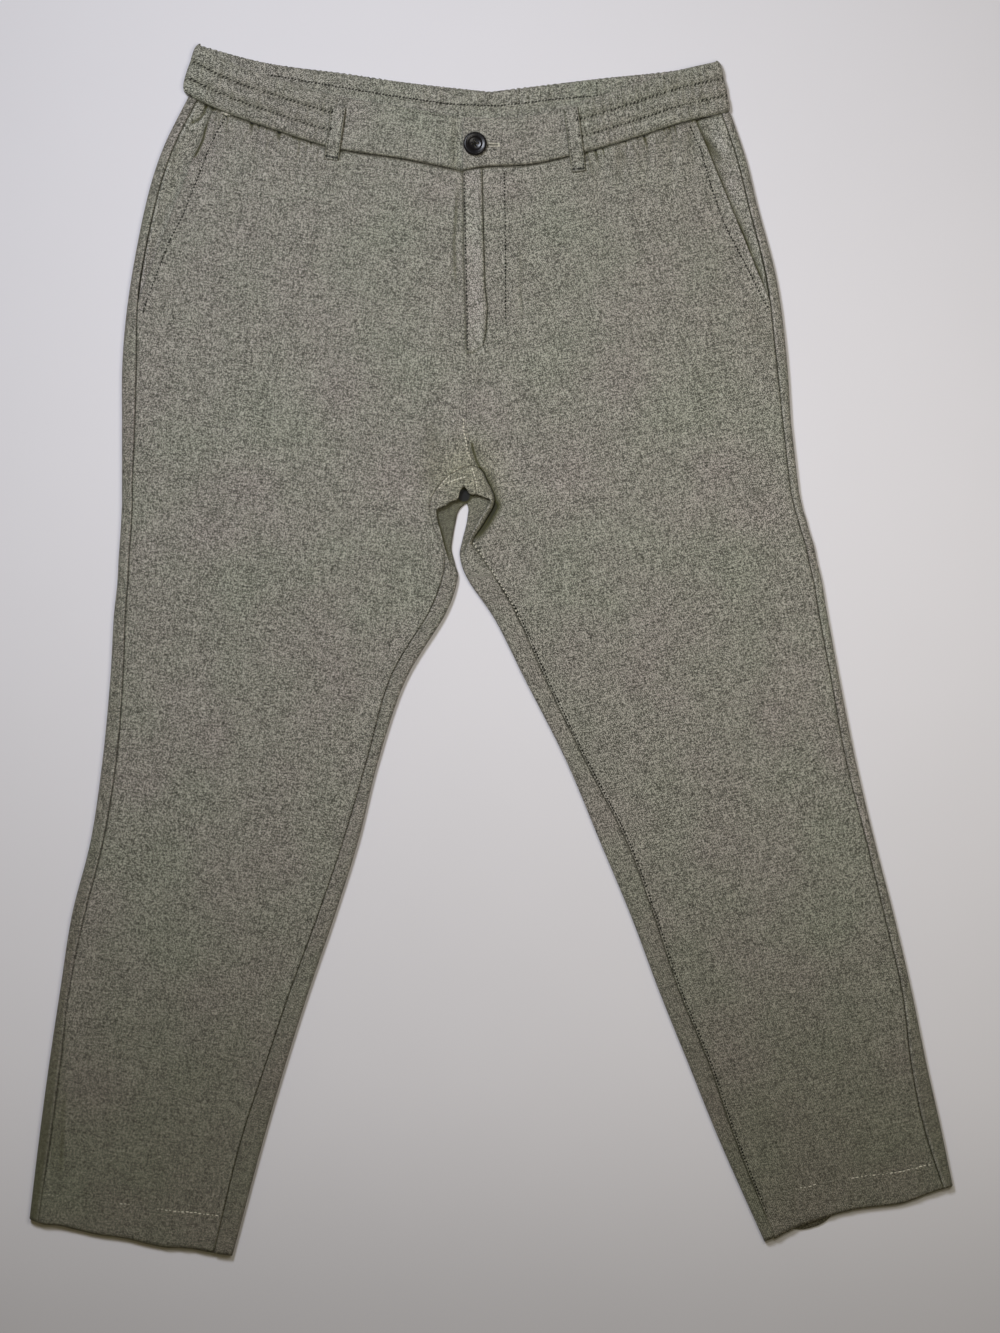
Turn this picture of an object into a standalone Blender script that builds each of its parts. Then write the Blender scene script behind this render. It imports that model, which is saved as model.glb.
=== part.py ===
"""Trousers with an elasticated waist, laid flat on their back with the front up.

+X is to the wearer's left, +Y runs up to the waist and +Z is up; the back lies on z = 0.
Sizes are in millimetres and become metres where a mesh is made.
Each panel is a grid of section rows, from the waist down, given its wall by Solidify.
"""

import math

import bmesh
import bpy
import numpy as np

MM = 0.001

# Walls of cloth
CLOTH = 1.2           # one panel
HEM_WALL = 2.4        # leg hem, turned up twice
FLAT_BAND_WALL = 1.8  # waistband without elastic
ELASTIC_WALL = 2.4    # waistband gathered over its elastic
LOOP_WALL = 1.4       # belt loop

# Gaps
SEAM_GAP = 0.3        # between two panels sewn edge to edge
WAIST_GAP = 0.35      # between the waistband and the seam line below it

# Heights, as the garment lies
FOLD_HEIGHT = 6.0     # rolled folds along the leg edges
LAID_HEIGHT = 4.9     # front panels, well away from a fold
SETTLE = 25.0         # how far from a fold the front settles to that height
ELASTIC_TOP = 7.0     # elastic waistband, front stretches
BAND_TOP = 6.8        # flat waistband, front
UNDERLAP_TOP = 4.5    # end of the right waistband, under the buttonhole
FACING_DROP = 1.6     # pocket facing, below the pocket mouth
SHIELD_TOP = 3.4      # fly shield, behind the fly

# Columns of cells in the grids
FRONT_COLUMNS = 9
BOTTOM_COLUMNS = 5
FOLD_ANGLES = (90, 54, 18, -18, -54, -90)
BAND_ROWS = 3

# Sections of the seat, from the waist seam down to the crotch. Each runs from the outer fold to the
# centre front and to the centre back. "side" is how far in from the fold the side seam lies.
SEAT_COLUMNS = "outer_x outer_y side front_x front_y back_x back_y"
SEAT = {
    "right": (
        (-256.5, 469.0, 7.5, -23.5, 405.5, -0.5, 428.5),
        (-278.5, 424.0, 8.0, -23.0, 369.0, -4.0, 381.5),
        (-293.0, 376.5, 8.0, -22.5, 329.0, -7.0, 329.0),
        (-306.5, 305.0, 8.0, -21.0, 281.5, -11.5, 271.0),
        (-312.5, 245.5, 12.0, -20.0, 237.0, -15.0, 216.0),
        (-313.0, 186.0, 11.0, -20.0, 190.5, -18.5, 169.0),
    ),
    "left": (
        (203.5, 455.5, 7.0, -23.5, 405.5, -0.5, 428.5),
        (217.0, 415.5, 7.0, -23.0, 369.0, -4.0, 381.5),
        (226.5, 376.5, 7.0, -22.5, 329.0, -7.0, 329.0),
        (242.5, 315.5, 8.0, -21.0, 281.5, -11.5, 271.0),
        (251.0, 254.0, 9.0, -20.0, 237.0, -15.0, 216.0),
        (255.5, 190.5, 7.0, -20.0, 190.5, -18.5, 169.0),
    ),
}

# The slanted pocket mouths, from the waist seam to their lower ends at the side seams.
POCKET_MOUTH = {
    "right": ((-236.0, 462.0), (-298.5, 296.5)),
    "left": ((174.5, 448.0), (236.5, 296.0)),
}

# Sections of the leg, from the crotch seam down to the hem. Each runs from the outer fold to the
# inner fold, and the back panel wraps round it to the inseam on top.
LEG_COLUMNS = "outer_x outer_y side inner_x inner_y inseam_x inseam_y"
LEG = {
    "right": (
        (-313.0, 137.5, 9.0, -23.5, 125.0, -15.5, 155.5),
        (-313.0, 130.0, 9.0, -27.0, 122.5, -25.0, 153.0),
        (-313.0, 121.5, 9.0, -28.0, 116.5, -35.5, 147.0),
        (-313.5, 112.0, 9.0, -29.5, 108.0, -44.5, 137.5),
        (-314.0, 102.0, 9.0, -31.5, 97.0, -51.5, 122.5),
        (-315.0, 88.5, 9.0, -33.0, 85.0, -48.0, 103.0),
        (-316.0, 74.0, 9.0, -30.0, 72.0, -39.5, 82.5),
        (-317.0, 54.5, 9.0, -28.0, 58.5, -40.5, 61.0),
        (-320.0, 26.5, 10.0, -38.5, 29.0, -52.5, 30.0),
        (-323.0, -26.5, 11.0, -72.0, -26.5, -84.5, -24.5),
        (-329.5, -94.5, 12.0, -95.0, -94.5, -104.5, -94.5),
        (-339.5, -162.5, 11.0, -112.0, -162.5, -124.5, -162.5),
        (-355.5, -226.0, 11.0, -132.0, -226.0, -146.0, -226.0),
        (-365.5, -290.0, 8.0, -154.0, -290.0, -169.5, -290.0),
        (-375.0, -353.5, 10.0, -174.5, -354.5, -191.0, -354.5),
        (-383.0, -413.0, 10.0, -194.0, -421.5, -212.5, -421.5),
        (-391.5, -483.5, 8.0, -219.0, -515.0, -234.5, -512.5),
    ),
    "left": (
        (262.0, 133.5, 7.0, -23.5, 125.0, -15.5, 155.5),
        (263.5, 126.5, 7.0, -20.5, 124.0, -8.0, 152.0),
        (265.5, 118.0, 7.0, -19.0, 120.5, -3.0, 143.0),
        (268.0, 110.5, 7.0, -20.0, 114.0, 3.5, 126.5),
        (270.5, 101.0, 7.0, -21.5, 104.5, -4.5, 109.0),
        (274.5, 88.5, 7.0, -24.0, 92.0, -15.5, 91.0),
        (277.5, 74.0, 7.0, -26.0, 78.0, -10.5, 81.5),
        (281.5, 57.0, 7.0, -19.0, 58.5, 3.0, 61.0),
        (287.0, 24.5, 7.0, 4.0, 24.5, 24.0, 24.5),
        (296.5, -26.5, 7.0, 29.5, -26.5, 46.5, -26.5),
        (310.0, -94.5, 8.0, 64.0, -94.5, 79.5, -94.5),
        (326.0, -162.5, 7.0, 92.5, -162.5, 114.5, -162.5),
        (342.5, -226.0, 8.0, 119.0, -226.0, 138.0, -226.0),
        (357.5, -290.0, 8.0, 143.0, -290.0, 159.5, -290.0),
        (370.5, -353.5, 13.0, 168.5, -353.5, 185.5, -353.5),
        (382.0, -404.5, 14.0, 195.5, -420.0, 208.5, -420.0),
        (392.5, -455.5, 8.0, 232.5, -503.0, 241.0, -500.5),
    ),
}

# The slack of the seat at the crotch, one row for each of the leg's first sections. The cloth comes
# down from the inseam to a folded edge, and a lower layer runs on from there to the inner fold.
CROTCH_COLUMNS = "edge_x edge_y lower"
CROTCH = {
    "right": (
        (-21.0, 137.0, 3.2),
        (-28.5, 129.0, 3.2),
        (-37.0, 121.0, 3.2),
        (-47.0, 115.5, 3.2),
        (-42.5, 100.5, 3.2),
        (-39.0, 87.0, 3.8),
        (-34.5, 71.5, 5.0),
    ),
    "left": (
        (-21.0, 137.0, 3.2),
        (-15.5, 133.5, 3.2),
        (-9.0, 129.0, 3.2),
        (-0.5, 125.0, 3.2),
        (-9.0, 110.5, 3.2),
        (-18.5, 92.0, 3.8),
        (-21.5, 77.5, 5.0),
    ),
}
EDGE_STEP = 1.0  # half the width over which the crotch's folded edge drops to the lower layer

# The waistband's seam below and its top edge above, from the right fold to the centre and from the
# centre to the left fold.
BAND_COLUMNS = "seam_x seam_y top_x top_y"
FRONT_BAND = {
    "right": (
        (-256.5, 469.0, -249.5, 513.5),
        (-226.5, 455.5, -219.5, 497.5),
        (-185.5, 441.0, -179.0, 483.5),
        (-134.0, 425.0, -129.5, 469.0),
        (-77.0, 416.0, -75.0, 460.0),
        (-23.5, 405.5, -23.5, 450.5),
    ),
    "left": (
        (-23.5, 405.5, -23.5, 450.5),
        (-10.5, 408.0, -10.5, 450.5),
        (38.0, 411.5, 36.0, 452.5),
        (73.5, 419.5, 68.5, 462.0),
        (127.0, 435.0, 122.0, 478.5),
        (161.0, 446.0, 155.0, 489.5),
        (203.5, 455.5, 195.0, 499.0),
    ),
}
BACK_BAND = {
    "right": (
        (-256.5, 469.0, -249.5, 513.5),
        (-190.0, 455.0, -190.0, 498.0),
        (-123.5, 443.5, -123.5, 489.0),
        (-76.0, 437.0, -76.0, 482.0),
        (-0.5, 428.5, -0.5, 473.5),
    ),
    "left": (
        (-0.5, 428.5, -0.5, 473.5),
        (40.5, 433.0, 40.5, 478.5),
        (90.5, 440.0, 90.5, 484.5),
        (159.5, 449.0, 159.5, 492.0),
        (203.5, 455.5, 195.0, 499.0),
    ),
}
ELASTIC_ENDS = (-134.0, 74.0)  # where the elastic stops, under the belt loops
OVERLAP_END = -23.5            # free end of the left waistband
UNDERLAP_END = 12.5            # free end of the right waistband
UNDERLAP_DIP = (-35.0, -27.0)  # where the right waistband goes down under the left one

WAIST_FADE = 2.4               # sections over which the waist seam's curve dies away

HEM_DEPTH = 0.62               # share of the last section, above which the hem's stitches run
HEM_STEP = 0.04                # over which the wall grows to the hem's

POCKET_TUCK = 20.0             # how far the facing runs on under the mouth

SHIELD_REACH = (-14.0, 0.0, 13.0, 31.0)  # columns of the fly shield, from the centre front
SHIELD_END = 3.0               # seat section where it ends

# Belt loops: centre of the top end and of the bottom end.
LOOPS = {
    "belt_loop_right": ((-128.5, 459.0), (-135.0, 415.0)),
    "belt_loop_left": ((68.0, 458.0), (75.0, 405.0)),
}
LOOP_WIDTH = 12.7
LOOP_ARCH = 0.6                # how far a loop stands off the waistband halfway
LOOP_REST = 6.8                # top of its lower end, on the panel below the seam

BUTTON_PLACE = (-13.0, 428.0)
BUTTON_BASE = 7.4
BUTTON_RADIUS = 10.0
BUTTON_THICK = 3.5
BUTTON_HOLE_RADIUS = 0.9
BUTTON_HOLE_SPACING = 2.1
BUTTONHOLE = (-15.5, 7.0)      # ends of the slit
BUTTONHOLE_WIDTH = 3.2
SHANK_RADIUS = 1.2

LINEN = (0.21, 0.21, 0.18)
LINEN_DARK = (0.17, 0.17, 0.14)
BUTTON_BLACK = (0.012, 0.011, 0.012)
THREAD = (0.1, 0.1, 0.08)


# ---- Tables and plan geometry ----

def columns(header, rows):
    """Returns the table's columns by name."""
    return dict(zip(header.split(), np.array(rows, float).T))


def read_seat(side):
    """The seat's sections, with one more between each two, and where they meet the pocket mouth."""
    seat = columns(SEAT_COLUMNS, SEAT[side])
    knots = np.arange(len(SEAT[side]), dtype=float)
    places = np.arange(0.0, knots[-1] + 0.25, 0.5)
    sections = {name: smooth(places, knots, column) for name, column in seat.items()}
    sections["fade"] = np.clip(1 - places / WAIST_FADE, 0.0, 1.0)
    sections["place"] = places
    rows = zip(points(sections, "outer"), points(sections, "front"), sections["side"])
    sections["mouth"] = np.array([mouth_inset(side, *row) for row in rows])
    return sections


def mouth_inset(side, start, end, seam):
    """How far in along a section the pocket mouth lies, or the side seam's place below its end."""
    top, bottom = np.array(POCKET_MOUTH[side])
    if start[1] < bottom[1]:
        return seam
    along = np.column_stack([unit(end - start), top - bottom])
    return max(np.linalg.solve(along, top - start)[0], seam)


def read_leg(side):
    """The leg's sections, with more between the long ones and at the hem, and the crotch's edge."""
    leg = columns(LEG_COLUMNS, LEG[side])
    knots = np.arange(len(LEG[side]), dtype=float)
    last = knots[-1]
    hem = last - 1 + (1 - HEM_DEPTH)
    crotch_end = len(CROTCH[side])
    places = np.array([*range(crotch_end + 1), *np.arange(crotch_end + 1, last - 0.75, 0.5),
                       hem, hem + HEM_STEP, last])
    sections = {name: smooth(places, knots, column) for name, column in leg.items()}
    crotch = columns(CROTCH_COLUMNS, CROTCH[side])
    plain = len(places) - len(CROTCH[side])
    middle_x = (sections["inner_x"] + sections["inseam_x"])[-plain:] / 2
    middle_y = (sections["inner_y"] + sections["inseam_y"])[-plain:] / 2
    sections["edge_x"] = np.append(crotch["edge_x"], middle_x)
    sections["edge_y"] = np.append(crotch["edge_y"], middle_y)
    sections["lower"] = np.append(crotch["lower"], np.full(plain, FOLD_HEIGHT))
    sections["hem"] = places > hem + HEM_STEP / 2
    return sections


def points(table, name):
    """The plan points in a table's pair of columns."""
    return np.stack([table[name + "_x"], table[name + "_y"]], axis=1)


def unit(vector):
    return vector / np.linalg.norm(vector)


def normals(line, away_from):
    """Plan normals along a line of points, pointing away from the matching points."""
    tangent = np.gradient(line, axis=0)
    normal = np.stack([tangent[:, 1], -tangent[:, 0]], axis=1)
    normal /= np.linalg.norm(normal, axis=1)[:, None]
    side = np.sign(np.sum(normal * (line - away_from), axis=1))
    return normal * side[:, None]


def toward(start, end, distance):
    return start + unit(end - start) * distance


def raised(plan, z):
    """Plan points with their heights."""
    plan = np.atleast_2d(plan)
    return np.column_stack([plan, np.broadcast_to(z, len(plan))])


def top_height(outer, inner=np.inf):
    """Height of the upper layer at these distances from the outer and the inner fold."""
    near = np.minimum(outer, inner)
    beyond = np.maximum(near - FOLD_HEIGHT / 2, 0.0)
    return LAID_HEIGHT + (FOLD_HEIGHT - LAID_HEIGHT) * np.exp(-((beyond / SETTLE) ** 2))


def fold(edge, inward_top, inward_bottom, height):
    """Points round a fold, from the upper layer over the edge and under to the lower layer."""
    radius = height / 2
    out = []
    for degrees in FOLD_ANGLES:
        angle = math.radians(degrees)
        inward = inward_top if degrees > 0 else inward_bottom
        plan = edge + inward * radius * (1 - math.cos(angle))
        out.append((*plan, radius * (1 + math.sin(angle))))
    return np.array(out)


def smooth(x, knots, values):
    """A smooth curve through the values at the knots."""
    x = np.clip(x, knots[0], knots[-1])
    slopes = np.gradient(values, knots)
    k = np.clip(np.searchsorted(knots, x) - 1, 0, len(knots) - 2)
    width = knots[k + 1] - knots[k]
    t = (x - knots[k]) / width
    start = values[k] * (1 + 2 * t) * (1 - t) ** 2 + slopes[k] * width * t * (1 - t) ** 2
    end = values[k + 1] * (3 - 2 * t) * t ** 2 - slopes[k + 1] * width * t ** 2 * (1 - t)
    return start + end


def band_line(tables, seam_x):
    """Seam points and top points of the waistband above these places along its seam."""
    right, left = (columns(BAND_COLUMNS, tables[side]) for side in ("right", "left"))
    on_right = seam_x <= left["seam_x"][0]
    names = ("seam_y", "top_x", "top_y")
    seam_y, top_x, top_y = (
        np.where(on_right, smooth(seam_x, right["seam_x"], right[name]),
                 smooth(seam_x, left["seam_x"], left[name])) for name in names)
    return np.stack([seam_x, seam_y], axis=1), np.stack([top_x, top_y], axis=1)


def waist_bow(seat, share):
    """Height of the waist seam above a straight line from the outer fold to the centre front."""
    start, end = points(seat, "outer")[0], points(seat, "front")[0]
    line = start + (end - start) * np.atleast_1d(share)[:, None]
    return band_line(FRONT_BAND, line[:, 0])[0][:, 1] - line[:, 1]


# ---- Meshes, materials and collections ----

def fresh_collection(name):
    collection = bpy.data.collections.new(name)
    bpy.context.scene.collection.children.link(collection)
    return collection


def material(name, colour, roughness):
    made = bpy.data.materials.new(name)
    made.use_nodes = True
    shader = made.node_tree.nodes["Principled BSDF"]
    shader.inputs["Base Color"].default_value = (*colour, 1.0)
    shader.inputs["Roughness"].default_value = roughness
    shader.inputs["Metallic"].default_value = 0.0
    made.diffuse_color = (*colour, 1.0)
    return made


def new_object(name, mesh, collection, colour, roughness=0.9):
    made = bpy.data.objects.new(name, mesh)
    collection.objects.link(made)
    mesh.materials.append(material(name, colour, roughness))
    return made


def sheet_mesh(name, grid):
    """An open sheet through a grid of points in millimetres, its first cell facing up."""
    rows, cols = grid.shape[:2]
    bm = bmesh.new()
    bmesh.ops.create_grid(bm, x_segments=cols - 1, y_segments=rows - 1, size=0.5)
    for vert in bm.verts:
        col = round((vert.co.x + 0.5) * (cols - 1))
        row = round((0.5 - vert.co.y) * (rows - 1))
        vert.co = grid[row, col] * MM
    across = grid[0, 1] - grid[0, 0]
    down = grid[1, 0] - grid[0, 0]
    if np.cross(across, down)[2] > 0:
        bmesh.ops.reverse_faces(bm, faces=bm.faces)
    mesh = bpy.data.meshes.new(name)
    bm.to_mesh(mesh)
    bm.free()
    return mesh


def cloth(name, grid, wall, collection, colour=LINEN, hem=None):
    """A panel with its wall inside the given surface, thicker on the rows marked as hem."""
    mesh = sheet_mesh(name, grid)
    panel = new_object(name, mesh, collection, colour)
    shell = panel.modifiers.new("wall", "SOLIDIFY")
    shell.thickness = wall * MM
    shell.offset = -1
    if hem is not None:
        mark_hem(panel, grid, hem)
        shell.thickness = HEM_WALL * MM
        shell.vertex_group = "hem"
        shell.thickness_vertex_group = wall / HEM_WALL
    return panel


def mark_hem(panel, grid, hem):
    """Puts the vertices of the hem's rows in a group, where the wall is full."""
    group = panel.vertex_groups.new(name="hem")
    marked = grid[hem].reshape(-1, 3) * MM
    for vert in panel.data.vertices:
        nearest = np.abs(marked - np.array(vert.co)).max(axis=1).min()
        if nearest < 0.01 * MM:
            group.add([vert.index], 1.0, "REPLACE")


# ---- Panels ----

def centre_gap(side):
    """Plan shift that keeps a panel clear of its mirror neighbour along the centre seams."""
    return np.array([SEAM_GAP / 2 * (1 if side == "left" else -1), 0.0])


def front_grid(side):
    """Front panel: from the pocket mouth or side seam to the centre front, then to the inseam."""
    seat = read_seat(side)
    leg = read_leg(side)
    outer = np.vstack([points(seat, "outer"), points(leg, "outer")])
    centre = points(seat, "front") + centre_gap(side)
    inseam = points(leg, "inseam")
    inseam -= normals(inseam, points(leg, "outer")) * SEAM_GAP / 2
    inseam[0] = leg["inseam_x"][0], leg["inseam_y"][0] + SEAM_GAP / 2
    inseam[0] += centre_gap(side)
    ends = np.vstack([centre, inseam])
    insets = np.append(seat["mouth"], leg["side"]) + SEAM_GAP / 2
    folds = [None] * len(centre) + list(points(leg, "inner"))
    grid = []
    for index, (start, end, inset, inner) in enumerate(zip(outer, ends, insets, folds)):
        length = np.linalg.norm(end - start)
        along = np.linspace(inset, length, FRONT_COLUMNS + 1)
        line = start + unit(end - start) * along[:, None]
        if index < len(centre):
            line[:, 1] += seat["fade"][index] * waist_bow(seat, along / length)
        if index == 0:
            line[:, 1] -= SEAM_GAP / 2
        near = np.inf if inner is None else np.linalg.norm(line - inner, axis=1)
        grid.append(raised(line, top_height(along, near)))
    hem = np.append(np.zeros(len(centre), bool), leg["hem"])
    return np.array(grid), hem


def outer_stretch(start, front_end, back_end, side):
    """The back panel's way from the side seam, round the outer fold to the lower layer."""
    seam = toward(start, front_end, side - SEAM_GAP / 2)
    turn = fold(start, unit(front_end - start), unit(back_end - start), FOLD_HEIGHT)
    return np.vstack([raised(seam, top_height(side)), turn])


def bottom_stretch(begin, end):
    steps = np.linspace(0, 1, BOTTOM_COLUMNS + 1)[1:, None]
    return raised(begin + (end - begin) * steps, 0.0)


def inner_stretch(inner, outward, edge, inseam, lower, outer):
    """From the lower layer round the inner fold, over the crotch's folded edge, to the inseam."""
    turn = fold(inner, -outward, -outward, lower)[::-1][1:]
    foot = toward(edge, inner, EDGE_STEP)
    lip = toward(edge, inseam, EDGE_STEP)
    heights = [top_height(np.linalg.norm(p - outer), np.linalg.norm(p - inner))
               for p in (foot, lip, inseam)]
    foot_height = min(lower, heights[0]) if lower < FOLD_HEIGHT else heights[0]
    return np.vstack([turn, raised(foot, foot_height), raised(lip, heights[1]),
                      raised(inseam, heights[2])])


def back_grids(side):
    """Back panel: the seat down to the crotch, and the leg with its wrap round the inner fold."""
    seat = read_seat(side)
    leg = read_leg(side)
    outer = points(leg, "outer")
    inner = points(leg, "inner")
    outward = normals(inner, outer)
    outward[0] = 0.0, -1.0
    inseam = points(leg, "inseam")
    away = normals(inseam, outer) * SEAM_GAP / 2
    away[0] = centre_gap(side) - (0.0, SEAM_GAP / 2)
    first = slice(0, 1)
    inner[first] += centre_gap(side)
    edge = points(leg, "edge")
    edge[first] += centre_gap(side)

    seat_rows = []
    backs = points(seat, "back") + centre_gap(side)
    for k, (start, front, inset) in enumerate(zip(points(seat, "outer"), points(seat, "front"),
                                                  seat["side"])):
        begin = outer_stretch(start, front, backs[k], inset)
        bow = waist_bow(seat, inset / np.linalg.norm(front - start))
        begin[0, 1] += seat["fade"][k] * bow[0]
        seat_rows.append(np.vstack([begin, bottom_stretch(begin[-1, :2], backs[k])]))
    seat_rows[0] = lowered_to_waist(seat_rows[0])

    leg_rows = []
    for k, start in enumerate(outer):
        radius = leg["lower"][k] / 2
        floor_end = inner[k] - outward[k] * radius
        begin = outer_stretch(start, inseam[k], floor_end, leg["side"][k])
        floor = bottom_stretch(begin[-1, :2], floor_end)
        wrap = inner_stretch(inner[k], outward[k], edge[k], inseam[k] + away[k],
                             leg["lower"][k], start)
        leg_rows.append(np.vstack([begin, floor, wrap]))
    seat_rows.append(leg_rows[0][:len(seat_rows[0])])
    hem = np.append(np.zeros(len(seat_rows) - 1, bool), leg["hem"])
    return np.array(seat_rows), np.array(leg_rows), hem


def lowered_to_waist(row):
    """The back's first section follows the waistband's seam: the front one, then the back one."""
    turn = 1 + len(FOLD_ANGLES) // 2
    row[0, 1] = band_line(FRONT_BAND, row[:1, 0])[0][0, 1]
    row[turn:, 1] = band_line(BACK_BAND, row[turn:, 0])[0][:, 1]
    row[:, 1] -= SEAM_GAP / 2
    return row


def make_front(side, collection):
    grid, hem = front_grid(side)
    return cloth("front_" + side, grid, CLOTH, collection, hem=hem)


def make_back(side, collection):
    """The seat's sheet and the leg's sheet share the crotch section, where they are welded."""
    seat, leg, hem = back_grids(side)
    name = "back_" + side
    panel = cloth(name, leg, CLOTH, collection, LINEN_DARK)
    bm = bmesh.new()
    bm.from_mesh(panel.data)
    upper = sheet_mesh(name + "_seat", seat)
    bm.from_mesh(upper)
    bmesh.ops.remove_doubles(bm, verts=bm.verts, dist=0.01 * MM)
    bm.to_mesh(panel.data)
    bm.free()
    bpy.data.meshes.remove(upper)
    mark_hem(panel, leg, hem[len(seat) - 1:])
    shell = panel.modifiers["wall"]
    shell.thickness = HEM_WALL * MM
    shell.vertex_group = "hem"
    shell.thickness_vertex_group = CLOTH / HEM_WALL
    return panel


def make_facing(side, collection):
    """The hip piece seen in the slanted pocket mouth, going on under the front."""
    seat = read_seat(side)
    rows = 1 + np.count_nonzero(seat["mouth"] > seat["side"])
    starts, ends = points(seat, "outer"), points(seat, "front")
    grid = []
    for k in range(rows):
        seam = seat["side"][k] + SEAM_GAP / 2
        mouth = max(seat["mouth"][k] - EDGE_STEP / 2, seam + EDGE_STEP / 2)
        along = np.array([seam, (seam + mouth) / 2, mouth, mouth + POCKET_TUCK / 2,
                          mouth + POCKET_TUCK])
        shown = min((mouth - seam) / POCKET_TUCK, 1.0)
        drop = FACING_DROP * (1 - shown * np.array([0.9, 0.45, 0.0, 0.0, 0.0]))
        length = np.linalg.norm(ends[k] - starts[k])
        line = starts[k] + unit(ends[k] - starts[k]) * along[:, None]
        line[:, 1] += seat["fade"][k] * waist_bow(seat, along / length)
        if k == 0:
            line[:, 1] -= SEAM_GAP / 2
        grid.append(raised(line, top_height(along) - drop))
    return cloth("pocket_facing_" + side, np.array(grid), CLOTH, collection, LINEN_DARK)


def make_shield(collection):
    """The strip behind the fly, sewn to the right front."""
    seat = read_seat("left")
    grid = []
    for k, centre in enumerate(points(seat, "front")[seat["place"] <= SHIELD_END]):
        x = centre[0] + np.array(SHIELD_REACH)
        y = np.full(len(x), centre[1])
        if k == 0:
            y = band_line(FRONT_BAND, x)[0][:, 1] - SEAM_GAP
        grid.append(np.column_stack([x, y, np.full(len(x), SHIELD_TOP)]))
    return cloth("fly_shield", np.array(grid), CLOTH, collection, LINEN_DARK)


# ---- Waistband ----

def band_grid(table, seam_x, heights):
    """Rows from the top edge down to the seam, along the waistband."""
    seam, top = band_line(table, seam_x)
    seam = seam + (0.0, WAIST_GAP)
    shares = np.linspace(1, 0, BAND_ROWS + 1)
    rows = [np.column_stack([seam + (top - seam) * share, heights]) for share in shares]
    return np.array(rows)


def band_fold(corner, direction):
    """Columns round a side fold of the waistband, from its front to its back."""
    seam, top = band_line(FRONT_BAND, np.array([corner]))
    seam = seam + (0.0, WAIST_GAP)
    shares = np.linspace(1, 0, BAND_ROWS + 1)
    inward = np.array([direction, 0.0])
    return np.array([fold((seam + (top - seam) * share)[0], inward, inward, ELASTIC_TOP)
                     for share in shares])


def make_elastic(collection):
    """The gathered waistband: from one belt loop round the back to the other, in one piece."""
    right, left = FRONT_BAND["right"][0][0], FRONT_BAND["left"][-1][0]
    reach = ELASTIC_TOP / 2
    start = np.linspace(ELASTIC_ENDS[0] - SEAM_GAP / 2, right + reach, 7)[:-1]
    back = np.linspace(right + reach, left - reach, 14)[1:-1]
    finish = np.linspace(left - reach, ELASTIC_ENDS[1] + SEAM_GAP / 2, 7)[1:]
    grid = np.concatenate([
        band_grid(FRONT_BAND, start, np.full(len(start), ELASTIC_TOP)),
        band_fold(right, 1.0),
        band_grid(BACK_BAND, back, np.zeros(len(back))),
        band_fold(left, -1.0)[:, ::-1],
        band_grid(FRONT_BAND, finish, np.full(len(finish), ELASTIC_TOP)),
    ], axis=1)
    return cloth("waistband_elastic", grid, ELASTIC_WALL, collection)


def make_right_band(collection):
    """The flat right waistband, which goes on under the left one and carries the button."""
    begin = ELASTIC_ENDS[0] + SEAM_GAP / 2
    seam_x = np.concatenate([np.linspace(begin, UNDERLAP_DIP[0], 5),
                             np.linspace(UNDERLAP_DIP[1], UNDERLAP_END, 4)])
    heights = np.interp(seam_x, UNDERLAP_DIP, (BAND_TOP, UNDERLAP_TOP))
    grid = band_grid(FRONT_BAND, seam_x, heights)
    return cloth("waistband_right", grid, FLAT_BAND_WALL, collection)


def make_left_band(collection, cutters):
    """The flat left waistband, with the buttonhole through its free end."""
    seam_x = np.linspace(OVERLAP_END, ELASTIC_ENDS[1] - SEAM_GAP / 2, 6)
    grid = band_grid(FRONT_BAND, seam_x, np.full(len(seam_x), BAND_TOP))
    band = cloth("waistband_left", grid, FLAT_BAND_WALL, collection)
    slit = box_cutter("buttonhole_cutter", cutters)
    cut = band.modifiers.new("buttonhole", "BOOLEAN")
    cut.object = slit
    cut.operation = "DIFFERENCE"
    return band


def box_cutter(name, cutters):
    bm = bmesh.new()
    bmesh.ops.create_cube(bm, size=1.0)
    size = (BUTTONHOLE[1] - BUTTONHOLE[0], BUTTONHOLE_WIDTH, 2 * BAND_TOP)
    place = (sum(BUTTONHOLE) / 2, BUTTON_PLACE[1], BAND_TOP)
    bmesh.ops.scale(bm, vec=np.array(size) * MM, verts=bm.verts)
    bmesh.ops.translate(bm, vec=np.array(place) * MM, verts=bm.verts)
    mesh = bpy.data.meshes.new(name)
    bm.to_mesh(mesh)
    bm.free()
    return hidden_cutter(name, mesh, cutters)


def hidden_cutter(name, mesh, cutters):
    cutter = bpy.data.objects.new(name, mesh)
    cutters.objects.link(cutter)
    cutter.hide_render = True
    cutter.display_type = "WIRE"
    return cutter


def make_loop(name, collection):
    """A belt loop: a strip over the waistband, its lower end down on the panel below the seam."""
    top, bottom = (np.array(end) for end in LOOPS[name])
    length = np.linalg.norm(bottom - top)
    down = unit(bottom - top)
    across = np.array([-down[1], down[0]])
    if across[0] < 0:
        across = -across
    seam_y = band_line(FRONT_BAND, np.array([bottom[0]]))[0][0, 1]
    seam = (top[1] - seam_y) / abs(down[1])
    over = ELASTIC_TOP + SEAM_GAP + LOOP_WALL
    stations = (
        (0.0, over),
        (seam * 0.35, over + LOOP_ARCH),
        (seam * 0.7, over + LOOP_ARCH),
        (seam, over),
        (seam + 3.0, (over + LOOP_REST) / 2),
        (seam + 5.5, LOOP_REST),
        (length, LOOP_REST),
    )
    grid = []
    for place, height in stations:
        centre = top + down * place
        line = centre + across * np.linspace(-LOOP_WIDTH / 2, LOOP_WIDTH / 2, 3)[:, None]
        grid.append(raised(line, height))
    return cloth(name, np.array(grid), LOOP_WALL, collection)


# ---- Button ----

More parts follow.
